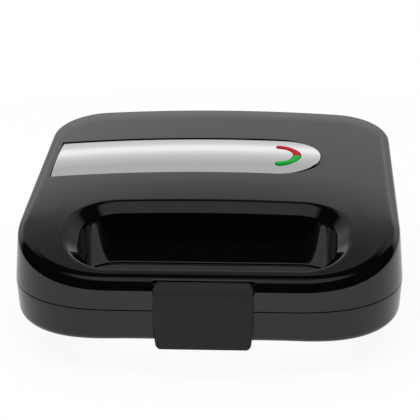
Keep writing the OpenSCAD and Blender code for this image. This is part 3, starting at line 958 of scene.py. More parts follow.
    def side_x(self, y: float) -> float:
        """Half width of the seam's outline.

        Args:
            y: Distance behind the front.

        Returns:
            The half width there.
        """
        if y < self.front_r:
            k = 1 - (1 - y / self.front_r) ** self.power
            return self.place.half_w - self.front_r + self.front_r * k ** (1 / self.power)
        return self.place.half_w - self.taper * (y - self.front_r)


# How far tools reach past the seam, where they start in front of it, the overlap that joins two
# solids for certain, and the radius at which a turned piece is closed.
CUT_PAST = 1
CUT_FRONT = -8
OVERLAP = 0.01
POLE_R = 0.02


@dataclass(frozen=True)
class Latch:
    """Snap latch on the front, and the sizes of the recess around it.

    The barrel turns about the pivot, given in Y and Z. The finger lip stands out below, and
    the hook takes the keeper of the base.
    """

    place: Place
    width: float = 56.6
    thick: float = 3.0
    drop: float = 22.2
    barrel_r: float = 3.3
    barrel_span: Pair = (128.0, -122.0)
    barrel_steps: int = 30
    pivot: Pair = (3.6, 13.2)
    slack: float = 0.8
    lip: float = 1.5
    lip_flat: Pair = (1.9, 1.4)
    lip_h: float = 12.0
    brow_z: float = 7.0
    bevel: tuple[Pair, Pair] = ((0.4, -1.4), (2.4, 0.5))
    neck: Pair = (0.1, 5.3)
    back_z: float = 6.0
    hook_over: float = 0.6
    hook_h: float = 1.5
    hook_slope: Pair = (0.2, 4.0)
    heel: Pair = (-0.6, 2.0)
    keeper_z: float = 8.0
    keeper_h: float = 2.6
    keeper_y: float = 1.7
    hook_gap: float = 0.4
    corner: float = 4.0
    edge: float = 0.7
    edge_limit: float = 30.0
    edge_steps: int = 3
    front_soft: Numbers = (0, 0.9, 1.2, 3, 2, 1.6, 1.2, 0)
    front_steps: int = 5
    taper: float = 1.2
    taper_z: float = -13.0
    top_free: float = 0.1
    foot_free: float = 0.02
    tool_reach: float = 20.0
    trough_wall: float = 2.4
    trough_back: float = 0.7
    trough_h: float = 9.0
    recess_y: Pair = (2.6, 4.4)

    @property
    def recess_w(self) -> float:
        """Width of the recess in both housings."""
        return self.width + 2 * self.slack

    def front_line(self) -> np.ndarray:
        """Front of the latch, from its foot over the finger lip to the barrel.

        Returns:
            Its line in Y and Z.
        """
        face, lip, z = -self.thick, -self.thick - self.lip, self.pivot[1]
        corners = [
            (lip + self.lip_flat[0], -self.drop),
            (lip, -self.drop),
            (lip, -self.drop + self.lip_flat[1]),
            (face, -self.drop + self.lip_h),
            (face, self.brow_z),
            *((face + dy, z + dz) for dy, dz in self.bevel),
            self.barrel()[0],
        ]
        return soften(corners, self.front_soft, self.front_steps)

    def barrel(self) -> np.ndarray:
        """Arc of the barrel, from the front over its top to the back."""
        start, end = (math.radians(v) for v in self.barrel_span)
        return turned(self.pivot, self.barrel_r, np.linspace(start, end, self.barrel_steps))

    def back_line(self) -> list[Pair]:
        """Back of the latch from under the barrel to the foot, with the hook.

        Returns:
            Its line in Y and Z.
        """
        hook_z = -(self.keeper_z + self.keeper_h + self.hook_over)
        hook_y = self.keeper_y - self.hook_gap
        return [
            (self.neck[0], self.pivot[1] - self.neck[1]),
            (0, self.back_z),
            (0, hook_z),
            (hook_y, hook_z),
            (hook_y, hook_z - self.hook_h),
            (self.hook_slope[0], hook_z - self.hook_slope[1]),
            (self.heel[0], -self.drop + self.heel[1]),
        ]

    def build(self) -> bpy.types.Object:
        """Makes the latch: its section run along X, cut to its front outline, edges rounded.

        Returns:
            The latch.
        """
        h, top = self.width / 2, self.pivot[1] + self.barrel_r + self.top_free
        section = np.array([*self.front_line()[:-1], *self.barrel(), *self.back_line()])
        made = Piece(self.place).extrude(section, Axis.X, -h, h).build("latch_grip")
        foot = (h - self.taper, -self.drop - self.foot_free)
        front = [(-h, self.taper_z), (-foot[0], foot[1]), foot, (h, self.taper_z), (h, top), (-h, top)]
        outline = rounded_polygon(front, 0, self.corner)
        tool = Piece(self.place).extrude(outline, Axis.Y, -self.tool_reach, self.tool_reach)
        carve(made, [tool.build("latch_tool")], Cut.CROSS)
        return soften_edges(made, self.edge, self.edge_steps, self.edge_limit)

    def trough(self) -> Piece:
        """Recess in the lid that the latch's barrel and face lie in.

        Returns:
            The tool for it.
        """
        y, z = self.pivot
        r = self.barrel_r + self.slack
        start, end = math.asin((self.trough_wall - y) / r), math.pi - math.asin(self.trough_back / r)
        arc = [(y + r * math.sin(g), z - r * math.cos(g)) for g in np.linspace(start, end, self.barrel_steps)]
        top = z + self.trough_h
        front = [(CUT_FRONT, -CUT_PAST), (self.trough_wall, -CUT_PAST)]
        section = [*front, *arc, (y + self.trough_back, top), (CUT_FRONT, top)]
        h = self.recess_w / 2
        return Piece(self.place).extrude(section, Axis.X, -h, h)

    def keeper_recess(self) -> Piece:
        """Recess in the base, with the pocket under the keeper that the hook takes.

        Returns:
            The tool for it.
        """
        low, depth = -self.keeper_z - self.keeper_h, self.place.seam_z
        over, under = self.recess_y
        section = [
            (CUT_FRONT, -depth),
            (under, -depth),
            (under, low),
            (self.keeper_y, low),
            (self.keeper_y, -self.keeper_z),
            (over, -self.keeper_z),
            (over, CUT_PAST),
            (CUT_FRONT, CUT_PAST),
        ]
        h = self.recess_w / 2
        return Piece(self.place).extrude(section, Axis.X, -h, h)


@dataclass(frozen=True)
class Strip:
    """Satin strip across the lid, with the half-ring of the two lenses at its round end.

    proud is how far its edge lies over the lid's top, and dome how much higher its middle is.
    """

    form: Form
    centre: Pair = (37.4, 148.8)
    radius: float = 27.9
    left: float = -101.2
    lean: float = 0.035
    thick: float = 0.6
    proud: float = -0.5
    dome: float = 2.05
    edge: float = 0.35
    rows: int = 44
    columns: int = 90
    lens_r: Pair = (11.0, 15.6)
    lens_y: float = -1.4
    lens_gap: float = 1.2
    lens_deep: float = 6.0
    lens_rise: Pair = (0.15, 0.35)
    lens_foot: float = 0.1
    lens_soft: Numbers = (0, 0, 0.7, 1.2, 0.7, 0)
    lens_steps: int = 5
    lens_edge: float = 0.25
    lens_points: int = 25
    end_points: int = 9
    end_turn: float = 1.5
    slot_points: int = 61
    cap_points: int = 17
    sharp: float = 60.0
    slot_gap: float = 0.3
    slot_span: Pair = (-18.0, 9.0)
    bed_gap: float = 0.8
    bed_under: float = 0.1
    bed_over: float = 5.0
    bed_columns: int = 40

    def sheet(
        self,
        grow: float,
        low: float,
        high: Callable[[np.ndarray, np.ndarray], Value],
        columns: int,
    ) -> Piece:
        """Closed sheet with the strip's outline that follows the lid's top.

        Args:
            grow: How far the outline is let out.
            low: Height of its underside over the lid.
            high: Height of its top over the lid, from the distance from the edge and the
                place across the strip.
            columns: Cells along it.

        Returns:
            The piece.
        """
        cx, cy = self.centre
        r = self.radius + grow
        g = np.linspace(-np.pi / 2, np.pi / 2, self.rows + 1)
        y = cy + r * np.sin(g)
        x0 = self.left + self.lean * (y - cy + self.radius) - grow
        x1 = cx + r * np.cos(g)
        u = np.linspace(0, 1, columns + 1)
        u = np.sort(np.concatenate((u, 0.5 - 0.5 * np.cos(np.pi * u))))
        x = mix(x0[:, None], x1[:, None], u[None, :])
        y = np.broadcast_to(y[:, None], x.shape)
        far = np.where(x > cx, r - np.hypot(x - cx, y - cy), r - np.abs(y - cy))
        far = np.minimum(far, x - x0[:, None])
        surface = self.form.lid_top(x, y)
        heights = (surface + high(far, (y - cy) / r), surface + low)
        points = np.concatenate([np.stack((x, y, z), 2).reshape(-1, 3) for z in heights])
        return Piece(self.form.place).add(points, self.sheet_faces(*x.shape))

    @staticmethod
    def sheet_faces(n: int, m: int) -> list[tuple[int, ...]]:
        """Faces of a closed sheet whose top and underside are grids of n by m points.

        Args:
            n: Rows of points.
            m: Points in a row.

        Returns:
            The faces.
        """
        faces = []
        under = n * m
        for i in range(n - 1):
            for a in range(i * m, i * m + m - 1):
                faces.append((a, a + 1, a + m + 1, a + m))
                faces.append((under + a, under + a + m, under + a + m + 1, under + a + 1))
        number = np.arange(n * m).reshape(n, m)
        sides = (number[0], number[1:, -1], number[-1, -2::-1], number[-2:0:-1, 0])
        edge = np.concatenate(sides).tolist()
        for a, b in zip(edge, edge[1:] + edge[:1]):
            faces.append((a, under + a, under + b, b))
        return faces

    @property
    def lens_centre(self) -> Pair:
        """Centre of the half-ring of the lenses."""
        return self.centre[0], self.centre[1] + self.lens_y

    @property
    def lens_end(self) -> float:
        """Angle at which the round end of a lens begins, in degrees."""
        r0, r1 = self.lens_r
        return 90 - math.degrees((r1 - r0) / (r1 + r0))

    def slot(self) -> bpy.types.Object:
        """Tool for the half-ring hole, which has round ends.

        Returns:
            The tool.
        """
        r0, r1 = self.lens_r
        middle, half = (r0 + r1) / 2, (r1 - r0) / 2 + self.slot_gap
        end = math.radians(self.lens_end)
        angles = np.linspace(-end, end, self.slot_points)
        cap = np.linspace(0, math.pi, self.cap_points)[1:-1]
        outline = [turned((0, 0), middle + half, angles)]
        for side, turn in ((1, cap), (-1, np.pi - cap)):
            out, on = middle + half * np.cos(turn), side * half * np.sin(turn)
            ux, uy = math.cos(side * end), math.sin(side * end)
            outline.append(np.stack((out * ux - on * uy, out * uy + on * ux), 1))
        outline.insert(2, turned((0, 0), middle - half, angles[::-1]))
        top = self.form.lid_top(*self.lens_centre)
        low, high = (top + v for v in self.slot_span)
        ring = np.concatenate(outline) + self.lens_centre
        return Piece(self.form.place).extrude(ring, Axis.Z, low, high).build("slot_tool")

    def bed(self) -> bpy.types.Object:
        """Tool for the sunk bed that the strip lies in.

        Returns:
            The tool.
        """
        low = self.proud - self.thick - self.bed_under
        made = self.sheet(self.bed_gap, low, lambda far, across: self.bed_over, self.bed_columns)
        return made.build("bed_tool")

    def build(self) -> bpy.types.Object:
        """Makes the strip: slightly domed across, its edge rounded over.

        Returns:
            The strip.
        """

        def high(far: np.ndarray, across: np.ndarray) -> np.ndarray:
            """Height of the strip's top over the lid.

            Args:
                far: Distance from the strip's edge.
                across: Place across the strip, from -1 to 1.

            Returns:
                The height.
            """
            edge = np.clip(far / self.edge, 0, 1)
            rounding = self.edge * (1 - np.sqrt(1 - (1 - edge) ** 2))
            return self.proud + self.dome * (1 - across**2) - rounding

        made = self.sheet(0, self.proud - self.thick, high, self.columns)
        return carve(made.build("trim_sheet", self.sharp), [self.slot()], sharp=self.sharp)

    def lens(self, name: str, side: int) -> bpy.types.Object:
        """Makes one lens: a quarter ring with a round end, domed across.

        Args:
            name: Name of the lens.
            side: 1 for the rear lens and -1 for the front one.

        Returns:
            The lens.
        """
        cx, cy = self.lens_centre
        middle_h = self.form.lid_top(cx, cy)
        top = middle_h + self.proud + self.dome
        r0, r1 = self.lens_r
        middle = (r0 + r1) / 2
        rim, crown = (top + v for v in self.lens_rise)
        foot = top - self.lens_deep
        section = soften(
            [(r0, foot), (r1, foot), (r1, rim), (middle, crown), (r0, rim), (r0, foot + self.lens_foot)],
            self.lens_soft,
            self.lens_steps,
        )
        stations = [(g, 1.0) for g in np.linspace(self.lens_gap, self.lens_end, self.lens_points)]
        for t in np.linspace(0, self.end_turn, self.end_points)[1:]:
            stations.append((mix(self.lens_end, 90.0, math.sin(t)), math.cos(t)))
        rings = []
        for angle, share in stations[::side]:
            g = math.radians(side * angle)
            radius = middle + (section[:, 0] - middle) * share
            x, y = cx + radius * math.cos(g), cy + radius * math.sin(g)
            lift = self.form.lid_top(x, y) - middle_h
            rings.append(np.column_stack((x, y, section[:, 1] + lift)))
        return soften_edges(Piece(self.form.place).loft(rings).build(name), self.lens_edge)


@dataclass(frozen=True)
class Plate:
    """Cast non-stick plate with two square pockets, each parted along its diagonal.

    A pocket's line gives insets from its outline and depths from the flange.
    """

    form: Form
    node: str
    side: int
    pocket: float
    thick: float = 2.5
    face: float = 1.2
    ridge: float = 6.0
    margin: Triple = (10.5, 19.6, 21.6)
    rear_gap: float = 4.4
    edge: float = 0.5
    head_r: float = 3.3
    head_h: float = 1.6
    shank_r: float = 1.7
    screw_in: Triple = (6.0, 42.0, 6.0)
    well_r: float = 10.0
    back_r: float = 9.0
    well_in: Triple = (14.0, 7.4, 2.4)
    well_lip: float = 0.4
    well_soft: Numbers = (0, 4.5, 1.2, 0, 0)
    well_steps: int = 7
    back_in: Triple = (12.0, 7.0, -0.8)
    back_rise: float = 0.9
    back_soft: Numbers = (0, 4, 1.5, 0)
    shrink: float = 0.5
    sharp: float = 38.0

    @property
    def box(self) -> tuple[np.ndarray, np.ndarray]:
        """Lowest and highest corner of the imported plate."""
        return self.form.place.node(self.node)

    @property
    def back(self) -> float:
        """Distance of the flange's back from the seam."""
        return self.face + self.thick

    @property
    def well_line(self) -> np.ndarray:
        """Line of a pocket from its floor up its wall and over its lip.

        Returns:
            Its points.
        """
        (middle, foot, top), d, out = self.well_in, self.pocket, -self.well_lip
        corners = [(middle, d), (foot, d), (top, 0), (out, out), (out, -CUT_PAST)]
        return soften(corners, self.well_soft, self.well_steps)

    @property
    def back_line(self) -> np.ndarray:
        """Line of a pocket's back from its floor to inside the flange.

        Returns:
            Its points.
        """
        (middle, foot, out), t = self.back_in, self.thick
        d = self.pocket + t
        return soften([(middle, d), (foot, d), (out, t * self.back_rise), (out, t / 2)], self.back_soft)

    def screws(self) -> list[Pair]:
        """Places of the four screws that hold a plate.

        Returns:
            Their places in X and Y.
        """
        low, high = self.box
        near, far, inset = self.screw_in
        spots = ((high[0] - near, low[1] + inset), (high[0] - far, high[1] - inset))
        return [(side * x, y) for side in (-1, 1) for x, y in spots]

    def triangles(self) -> list[np.ndarray]:
        """The four half slices, as seen from above.

        Returns:
            The corners of each.
        """
        low, high = self.box
        beside, before, behind = self.margin
        x0, x1 = self.ridge / 2, high[0] - beside
        y0, y1 = low[1] + before, high[1] - behind
        right = [[(x0, y0), (x1, y0), (x0, y1)], [(x1, y0), (x1, y1), (x0, y1)]]
        left = [[(-x, y) for x, y in reversed(corners)] for corners in right]
        return [np.array(corners) for corners in (*right, *left)]

    def flange(self, inset: float) -> np.ndarray:
        """Outline of the flange, with the housing's rear corners.

        Args:
            inset: How far it is drawn in.

        Returns:
            The outline.
        """
        low, high = self.box
        r = self.form.rear_r - self.rear_gap
        w = high[0] - inset
        y0, y1 = low[1] + inset, high[1] - r
        rear = [self.form.quarter(v, y1, r - inset, k) for k, v in enumerate((w + inset - r, r - w - inset))]
        return np.concatenate(([(-w, y0), (w, y0)], *rear))

    def pockets(self, line: np.ndarray, radius: float, name: str) -> list[bpy.types.Object]:
        """Solids of the four pockets.

        Args:
            line: The line that each of them follows.
            radius: Radius of their corners.
            name: Name of each solid.

        Returns:
            The solids.
        """
        made = []
        for corners in self.triangles():
            rings = [
                level(
                    rounded_polygon(corners, inset, radius - inset * self.shrink),
                    self.side * (self.face + depth),
                )
                for inset, depth in line
            ]
            made.append(Piece(self.form.place).loft(rings).build(name))
        return made

    def build(self) -> bpy.types.Object:
        """Makes the plate: its flange, the backs of its pockets, the pockets and the screw holes.

        Returns:
            The plate.
        """
        s, t, place = self.side, self.thick, self.form.place
        sheet = [
            level(self.flange(inset), s * (self.face + depth))
            for inset, depth in ((self.edge, 0), (0, self.edge), (0, t))
        ]
        made = Piece(place).loft(sheet).build(f"{self.node}_cast")
        holes = Piece(place)
        for spot in self.screws():
            for start, depth, radius in (
                (self.face - CUT_PAST, self.face + self.head_h, self.head_r),
                (self.face, self.face + 2 * t, self.shank_r),
            ):
                low, high = sorted((s * start, s * depth))
                holes.rod(Axis.Z, spot, low, high, radius)
        carve(made, self.pockets(self.back_line, self.back_r, "back_tool"), Cut.JOIN)
        wells = self.pockets(self.well_line, self.well_r, "well_tool")
        return carve(made, [*wells, holes.build("hole_tool")], sharp=self.sharp)


@dataclass(frozen=True)
class Screw:
    """Pan-head screw with a cross recess, given as its length, width and depth."""

    head_r: float = 2.95
    head_h: float = 1.55
    shank_r: float = 1.4
    length: float = 9.0
    tip: float = 0.9
    cross: Triple = (3.6, 0.9, 1.0)
    cross_foot: float = 0.55
    cross_over: float = 0.2
    crown: Pair = (0.8, 0.6)
    crown_soft: Numbers = (0, 1.0, 0.5, 0)
    crown_steps: int = 5
    sharp: float = 45.0
    sunk: float = 0.05
    turn: float = 0.6
    sides: int = 32

    def build(self) -> bpy.types.Object:
        """Makes one screw about the origin, its head's top at z = 0.

        Returns:
            The screw.
        """
        r, h, end = self.head_r, self.head_h, -self.head_h - self.length
        flat, low = self.crown
        corners = [(POLE_R, 0), (r * flat, 0), (r, -h * low), (r, -h)]
        dome = soften(corners, self.crown_soft, self.crown_steps)
        profile = [*dome, (self.shank_r, -h), (self.shank_r, end), (POLE_R, end - self.tip)]
        made = Piece(ORIGIN).loft([level(circle((0, 0), v, self.sides), z) for v, z in profile])
        long, wide, deep = self.cross
        bars = []
        for a, b in ((long / 2, wide / 2), (wide / 2, long / 2)):
            box = np.array([(-a, -b), (a, -b), (a, b), (-a, b)])
            bar = [level(box * k, z) for k, z in ((self.cross_foot, -deep), (1.0, self.cross_over))]
            bars.append(Piece(ORIGIN).loft(bar).build("cross_tool"))
        return carve(made.build("screw_item"), bars, sharp=self.sharp)

    def set(self, plate: Plate) -> bpy.types.Object:
        """Sets the screws of a plate.

        Args:
            plate: The plate.

        Returns:
            The screws.
        """
        spots = [(x, y, plate.side * (plate.face + self.sunk)) for x, y in plate.screws()]
        turn = (0.0 if plate.side < 0 else math.pi, 0.0, self.turn)
        return set_on_points(f"{plate.node}_fixings", plate.form.place, self.build(), spots, Slot.SCREW, turn)


@dataclass(frozen=True)
class Feet:
    """Rubber feet with a rounded, hollow sole and a stem that is pushed into the leg."""

    place: Place
    nodes: tuple[str, ...] = ("foot_front_left", "foot_front_right", "foot_rear_left", "foot_rear_right")
    radius: float = 9.0
    height: float = 3.0
    flare: float = 0.8
    hollow: Triple = (5.2, 6.4, 0.45)
    stem_r: float = 2.9
    stem: float = 5.0
    stem_edge: float = 0.6
    sole_soft: Numbers = (0, 0.5, 0.9, 0)
    sides: int = 64
    sharp: float = 40.0

    @property
    def spots(self) -> list[Pair]:
        """Middles of the feet, in X and Y."""
        boxes = [self.place.node(name) for name in self.nodes]
        return [((low[0] + high[0]) / 2, (low[1] + high[1]) / 2) for low, high in boxes]

    def build(self) -> bpy.types.Object:
        """Makes one foot and sets it under the four legs.

        Returns:
            The four feet.
        """
        r, h, end = self.radius, self.height, self.height + self.stem
        inner, outer, deep = self.hollow
        sole = soften([(inner, deep), (outer, 0.0), (r, 0.0), (r + self.flare, h)], self.sole_soft)
        stem = [(self.stem_r, h), (self.stem_r, end - self.stem_edge), (self.stem_r - self.stem_edge, end)]
        profile = [(POLE_R, deep), *sole, *stem]
        rings = [level(circle((0, 0), v, self.sides), z) for v, z in profile]
        item = Piece(ORIGIN).loft(rings).build("foot_item", self.sharp)
        spots = [(x, y, -self.place.seam_z) for x, y in self.spots]
        return set_on_points("rubber_feet", self.place, item, spots, Slot.RUBBER)


@dataclass(frozen=True)
class Shell:
    """Moulded housing, with what the lid's and the base's have in common.

    Heights count from the seam, upwards in the lid and downwards in the base. The rim is the
    line of the hand opening's edge, as distances from its wall and drops from the surface.
    The seam and the opening's wall end in small rounded edges at a gap from the seam, and
    inner_drop and inner_run lead from that wall to the inside of the skin.
    """

    form: Form
    side: int = 1
    wall: float = 2.4
    gap: float = 0.15
    seam_in: float = 0.36
    seam_edge: tuple[Pair, ...] = ((0.14, 0.2), (0.03, 0.33), (0.0, 0.55))
    wall_steps: Numbers = (0.1, 0.35, 0.7, 0.93)
    edge_steps: int = 10
    top_steps: int = 10
    edge_r: float = 6.0
    inner_edge: float = 1.0
    inner_turns: Numbers = (60, 30, 0)
    draft: float = 4.0
    rim: tuple[Pair, ...] = ()
    rim_soft: Numbers = ()
    rim_steps: int = 7
    grip_in: float = 0.7
    grip_edge: tuple[Pair, ...] = ((0.07, 2.4), (0.01, 1.3), (0.0, 0.95), (0.08, 0.6), (0.3, 0.38))
    inner_drop: float = 0.0
    inner_run: Pair = (0.0, 0.0)
    pad_w: float = 65.6
    knuckle_r: float = 5.8
    knuckle_edge: float = 0.5
    knuckle_points: int = 25
    web_h: float = 1.0
    web_in: float = 0.9
    web_foot: float = 0.7
    hinge_x: float = 62.0
    lid_knuckle: float = 16.0
    base_knuckle: float = 7.0
    ear_gap: float = 0.4
    rib_t: float = 1.6
    rib_bite: float = 0.1
    rib_start: float = 2.0
    rib_steps: int = 16
    handle_ribs: Numbers = (38.0, 52.0)
    arm_ribs: Numbers = (44.0, 58.0)
    post_r: float = 4.0
    post_sides: int = 32

    def height(self, x: Value, y: Value) -> Value:
        """Distance of the outside from the seam."""
        raise NotImplementedError

    def rim_drop(self, far: float) -> float:
        """How much thinner the shell stands beside the hand opening, at a distance from it."""
        raise NotImplementedError

    @property
    def lean(self) -> float:
        """How far a wall leans in for each millimetre of height."""
        return math.tan(math.radians(self.draft))

    def skin(self, x: float, y: float) -> float:
        """Height of the middle of the shell's wall.

        Args:
            x: Distance from the middle.
            y: Distance behind the front.

        Returns:
            The height, below 0 in the base.
        """
        high = float(self.height(x, y))
        inset = min(y, self.form.side_x(y) - abs(x)) - self.lean * (high - self.edge_r)
        drop = max(self.rounding(inset), self.rim_drop(self.form.grip_far(x, y)))
        return self.side * (high - self.wall / 2 - drop)

    def rounding(self, inset: float) -> float:
        """Drop of the rounded edge at a distance from the wall."""
        r = self.edge_r
        return 0.0 if inset >= r else r - math.sqrt(max(0.0, r**2 - (r - inset) ** 2))

    def rings(self) -> list[np.ndarray]:
        """Rings of the shell, from the seam over its outside, along the opening and back inside.

        Returns:
            The rings.
        """
        form, side = self.form, self.side
        rim, inner = form.outline(0), form.outline(1)
        lean = self.lean * (self.height(rim[:, 0], rim[:, 1]) - self.edge_r)

        def drawn(d: float) -> np.ndarray:
            """Outline drawn in by d, which leans in with the height."""
            return mix(rim, inner, (d + lean)[:, None])

        def under(ring: np.ndarray, drop: float) -> np.ndarray:
            """Ring at a drop from the outside."""
            return level(ring, side * (self.height(ring[:, 0], ring[:, 1]) - drop))

        def edge(start: float, r: float, angles: Sequence[float]) -> list[np.ndarray]:
            """Rings of a rounded edge that starts at a depth in the wall."""
            turns = np.radians(angles)
            return [under(drawn(start + r * (1 - math.cos(a))), start + r * (1 - math.sin(a))) for a in turns]

        r, wall, gap = self.edge_r, self.wall, side * self.gap
        edges = (self.seam_in, self.gap), *self.seam_edge
        rings = [level(form.outline(d), side * z) for d, z in edges]
        foot = under(drawn(0), r)
        rings += [mix(rings[-1], foot, t) for t in self.wall_steps]
        rings += edge(0, r, np.linspace(0, 90, self.edge_steps + 1))
        line = soften(self.rim, self.rim_soft, self.rim_steps)
        far = form.grip(line[0][0])
        rings += [under(mix(drawn(r), far, t), 0) for t in np.linspace(0, 1, self.top_steps + 1)[1:]]
        rings += [under(form.grip(d), drop) for d, drop in line[1:]]
        edges = *self.grip_edge, (self.grip_in, self.gap)
        rings += [level(form.grip(d), side * z) for d, z in edges]
        lip, (first, last) = form.grip(wall), self.inner_run
        rings += [level(lip, gap), under(lip, self.inner_drop + wall), under(form.grip(first), wall)]
        back = form.grip(last)
        rings += [under(mix(drawn(r), back, t), wall) for t in np.linspace(1, 0, self.top_steps // 2 + 1)]
        rings += edge(wall, r - self.inner_edge, self.inner_turns)
        return [*rings, level(form.outline(wall), gap)]

    def pad(self, run: Pair, span: Pair) -> bpy.types.Object:
        """Block that thickens the wall behind the latch.

        Args:
            run: Where it starts and ends along Y.
            span: Its lowest and highest place.

        Returns:
            The block.
        """
        h = self.pad_w / 2
        outline = [(-h, run[0]), (h, run[0]), (h, run[1]), (-h, run[1])]
        return Piece(self.form.place).extrude(outline, Axis.Z, *span).build("pad_tool")

    def rib(self, along: Axis, at: float, low: float, high: float) -> Piece:
        """Rib across a hollow, from the seam to the inside of the shell.

        Args:
            along: Axis that the rib runs along, X or Y.
            at: Its place on the other axis.
            low: Where it starts.
            high: Where it ends.

        Returns:
            The rib.
        """
        run = np.linspace(low, high, self.rib_steps + 1)
        top = [self.skin(v, at) if along is Axis.X else self.skin(at, v) for v in run]
        start = self.side * self.rib_start
        outline = [(run[-1], start), (run[0], start), *zip(run, top)]
        h, across = self.rib_t / 2, Axis.Y if along is Axis.X else Axis.X
        return Piece(self.form.place).extrude(outline, across, at - h, at + h)

    def inside(self, plate: Plate) -> Piece:
        """Ribs of the handle and its arms, the wall behind them, and the posts of the plate.

        Args:
            plate: The plate that is screwed to the posts.

        Returns:
            All of them.
        """
        form, wall = self.form, self.wall - self.rib_bite
        made = Piece(form.place)
        for side in (-1, 1):
            spans = [(Axis.Y, side * x, wall, form.grip_y[0] - self.wall / 2) for x in self.handle_ribs]
            for y in (*self.arm_ribs, form.grip_y[1] + self.wall):
                start = form.grip_x - form.grip_r if y > form.grip_y[1] else form.grip_x + self.wall / 2
                spans.append((Axis.X, y, *sorted((side * start, side * (form.side_x(y) - wall)))))
            for span in spans:
                made.join(self.rib(*span))
        for x, y in plate.screws():
            low, high = sorted((self.side * plate.back, self.skin(x, y)))
            made.rod(Axis.Z, (x, y), low, high, self.post_r, self.post_sides)
        return made

    def knuckle(self, x0: float, x1: float) -> Piece:
        """Hinge barrel with its web to the rear wall, along X.

        Args:
            x0: Where it starts.
            x1: Where it ends.

        Returns:
            The barrel.
        """
        y, r = self.form.place.hinge_y, self.knuckle_r
        root = self.form.rear_y(max(abs(x0), abs(x1))) - self.wall / 2
        arc = turned((y, 0), r, np.linspace(-np.pi / 2, np.pi / 2, self.knuckle_points))
        foot, h = r * self.web_foot, self.web_h
        web = [(root, r), (root, h), (y - r * self.web_in, h), (y - r, 0), (y - foot, -foot)]
        if self.side < 0:
            web = [(a, -b) for a, b in reversed(web)]
        return Piece(self.form.place).extrude([*arc, *web], Axis.X, x0, x1)

    def barrels(self, name: str, *spans: Pair) -> bpy.types.Object:
        """Makes the hinge barrels at both rear corners.

        Args:
            name: Name of the barrels.
            spans: Where each of them starts on the right, and its length.

        Returns:
            The barrels.
        """
        piece = Piece(self.form.place)
        for side in (-1, 1):
            for x, length in spans:
                piece.join(self.knuckle(*sorted((side * x, side * (x + length)))))
        return soften_edges(piece.build(name), self.knuckle_edge)


@dataclass(frozen=True)
class LidHousing(Shell):
    """Moulded lid: crowned top, hand opening with a chamfered rim, latch and strip recesses."""

    edge_r: float = 6.6
    rim: tuple[Pair, ...] = ((9.7, 0.0), (7.2, 0.0), (1.1, 5.7), (1.0, 9.0))
    rim_soft: Numbers = (0.0, 2.0, 0.4, 0.0)
    rim_under: float = 0.8
    inner_drop: float = 6.2
    inner_run: Pair = (8.6, 10.0)
    pad_run: Pair = (2.0, 10.4)
    pad_top: float = 15.2

    def height(self, x: Value, y: Value) -> Value:
        """Height of the lid's top."""
        return self.form.lid_top(x, y)

    def rim_drop(self, far: float) -> float:
        """Drop of the chamfer, with the wall's thickness taken along the slope."""
        return (self.rim[2][1] + self.rim_under) * (1 - far / self.rim[1][0])

    def build(self, latch: Latch, strip: Strip, plate: Plate) -> bpy.types.Object:
        """Makes the lid's shell with its ribs and posts, and cuts its recesses.

        Args:
            latch: The latch that it carries.
            strip: The strip on its top.
            plate: The plate under it.

        Returns:
            The lid's housing.
        """
        made = Piece(self.form.place).loft(self.rings(), closed=True).build("lid_shell")
        block = self.pad(self.pad_run, (self.gap + OVERLAP, self.pad_top))
        carve(made, [block, self.inside(plate).build("rib_tool")], Cut.JOIN)
        return carve(made, [latch.trough().build("trough_tool"), strip.bed(), strip.slot()])

    def knuckles(self) -> bpy.types.Object:
        """Makes the two barrels at the rear of the lid."""
        return self.barrels("lid_knuckles", (self.hinge_x - self.lid_knuckle / 2, self.lid_knuckle))


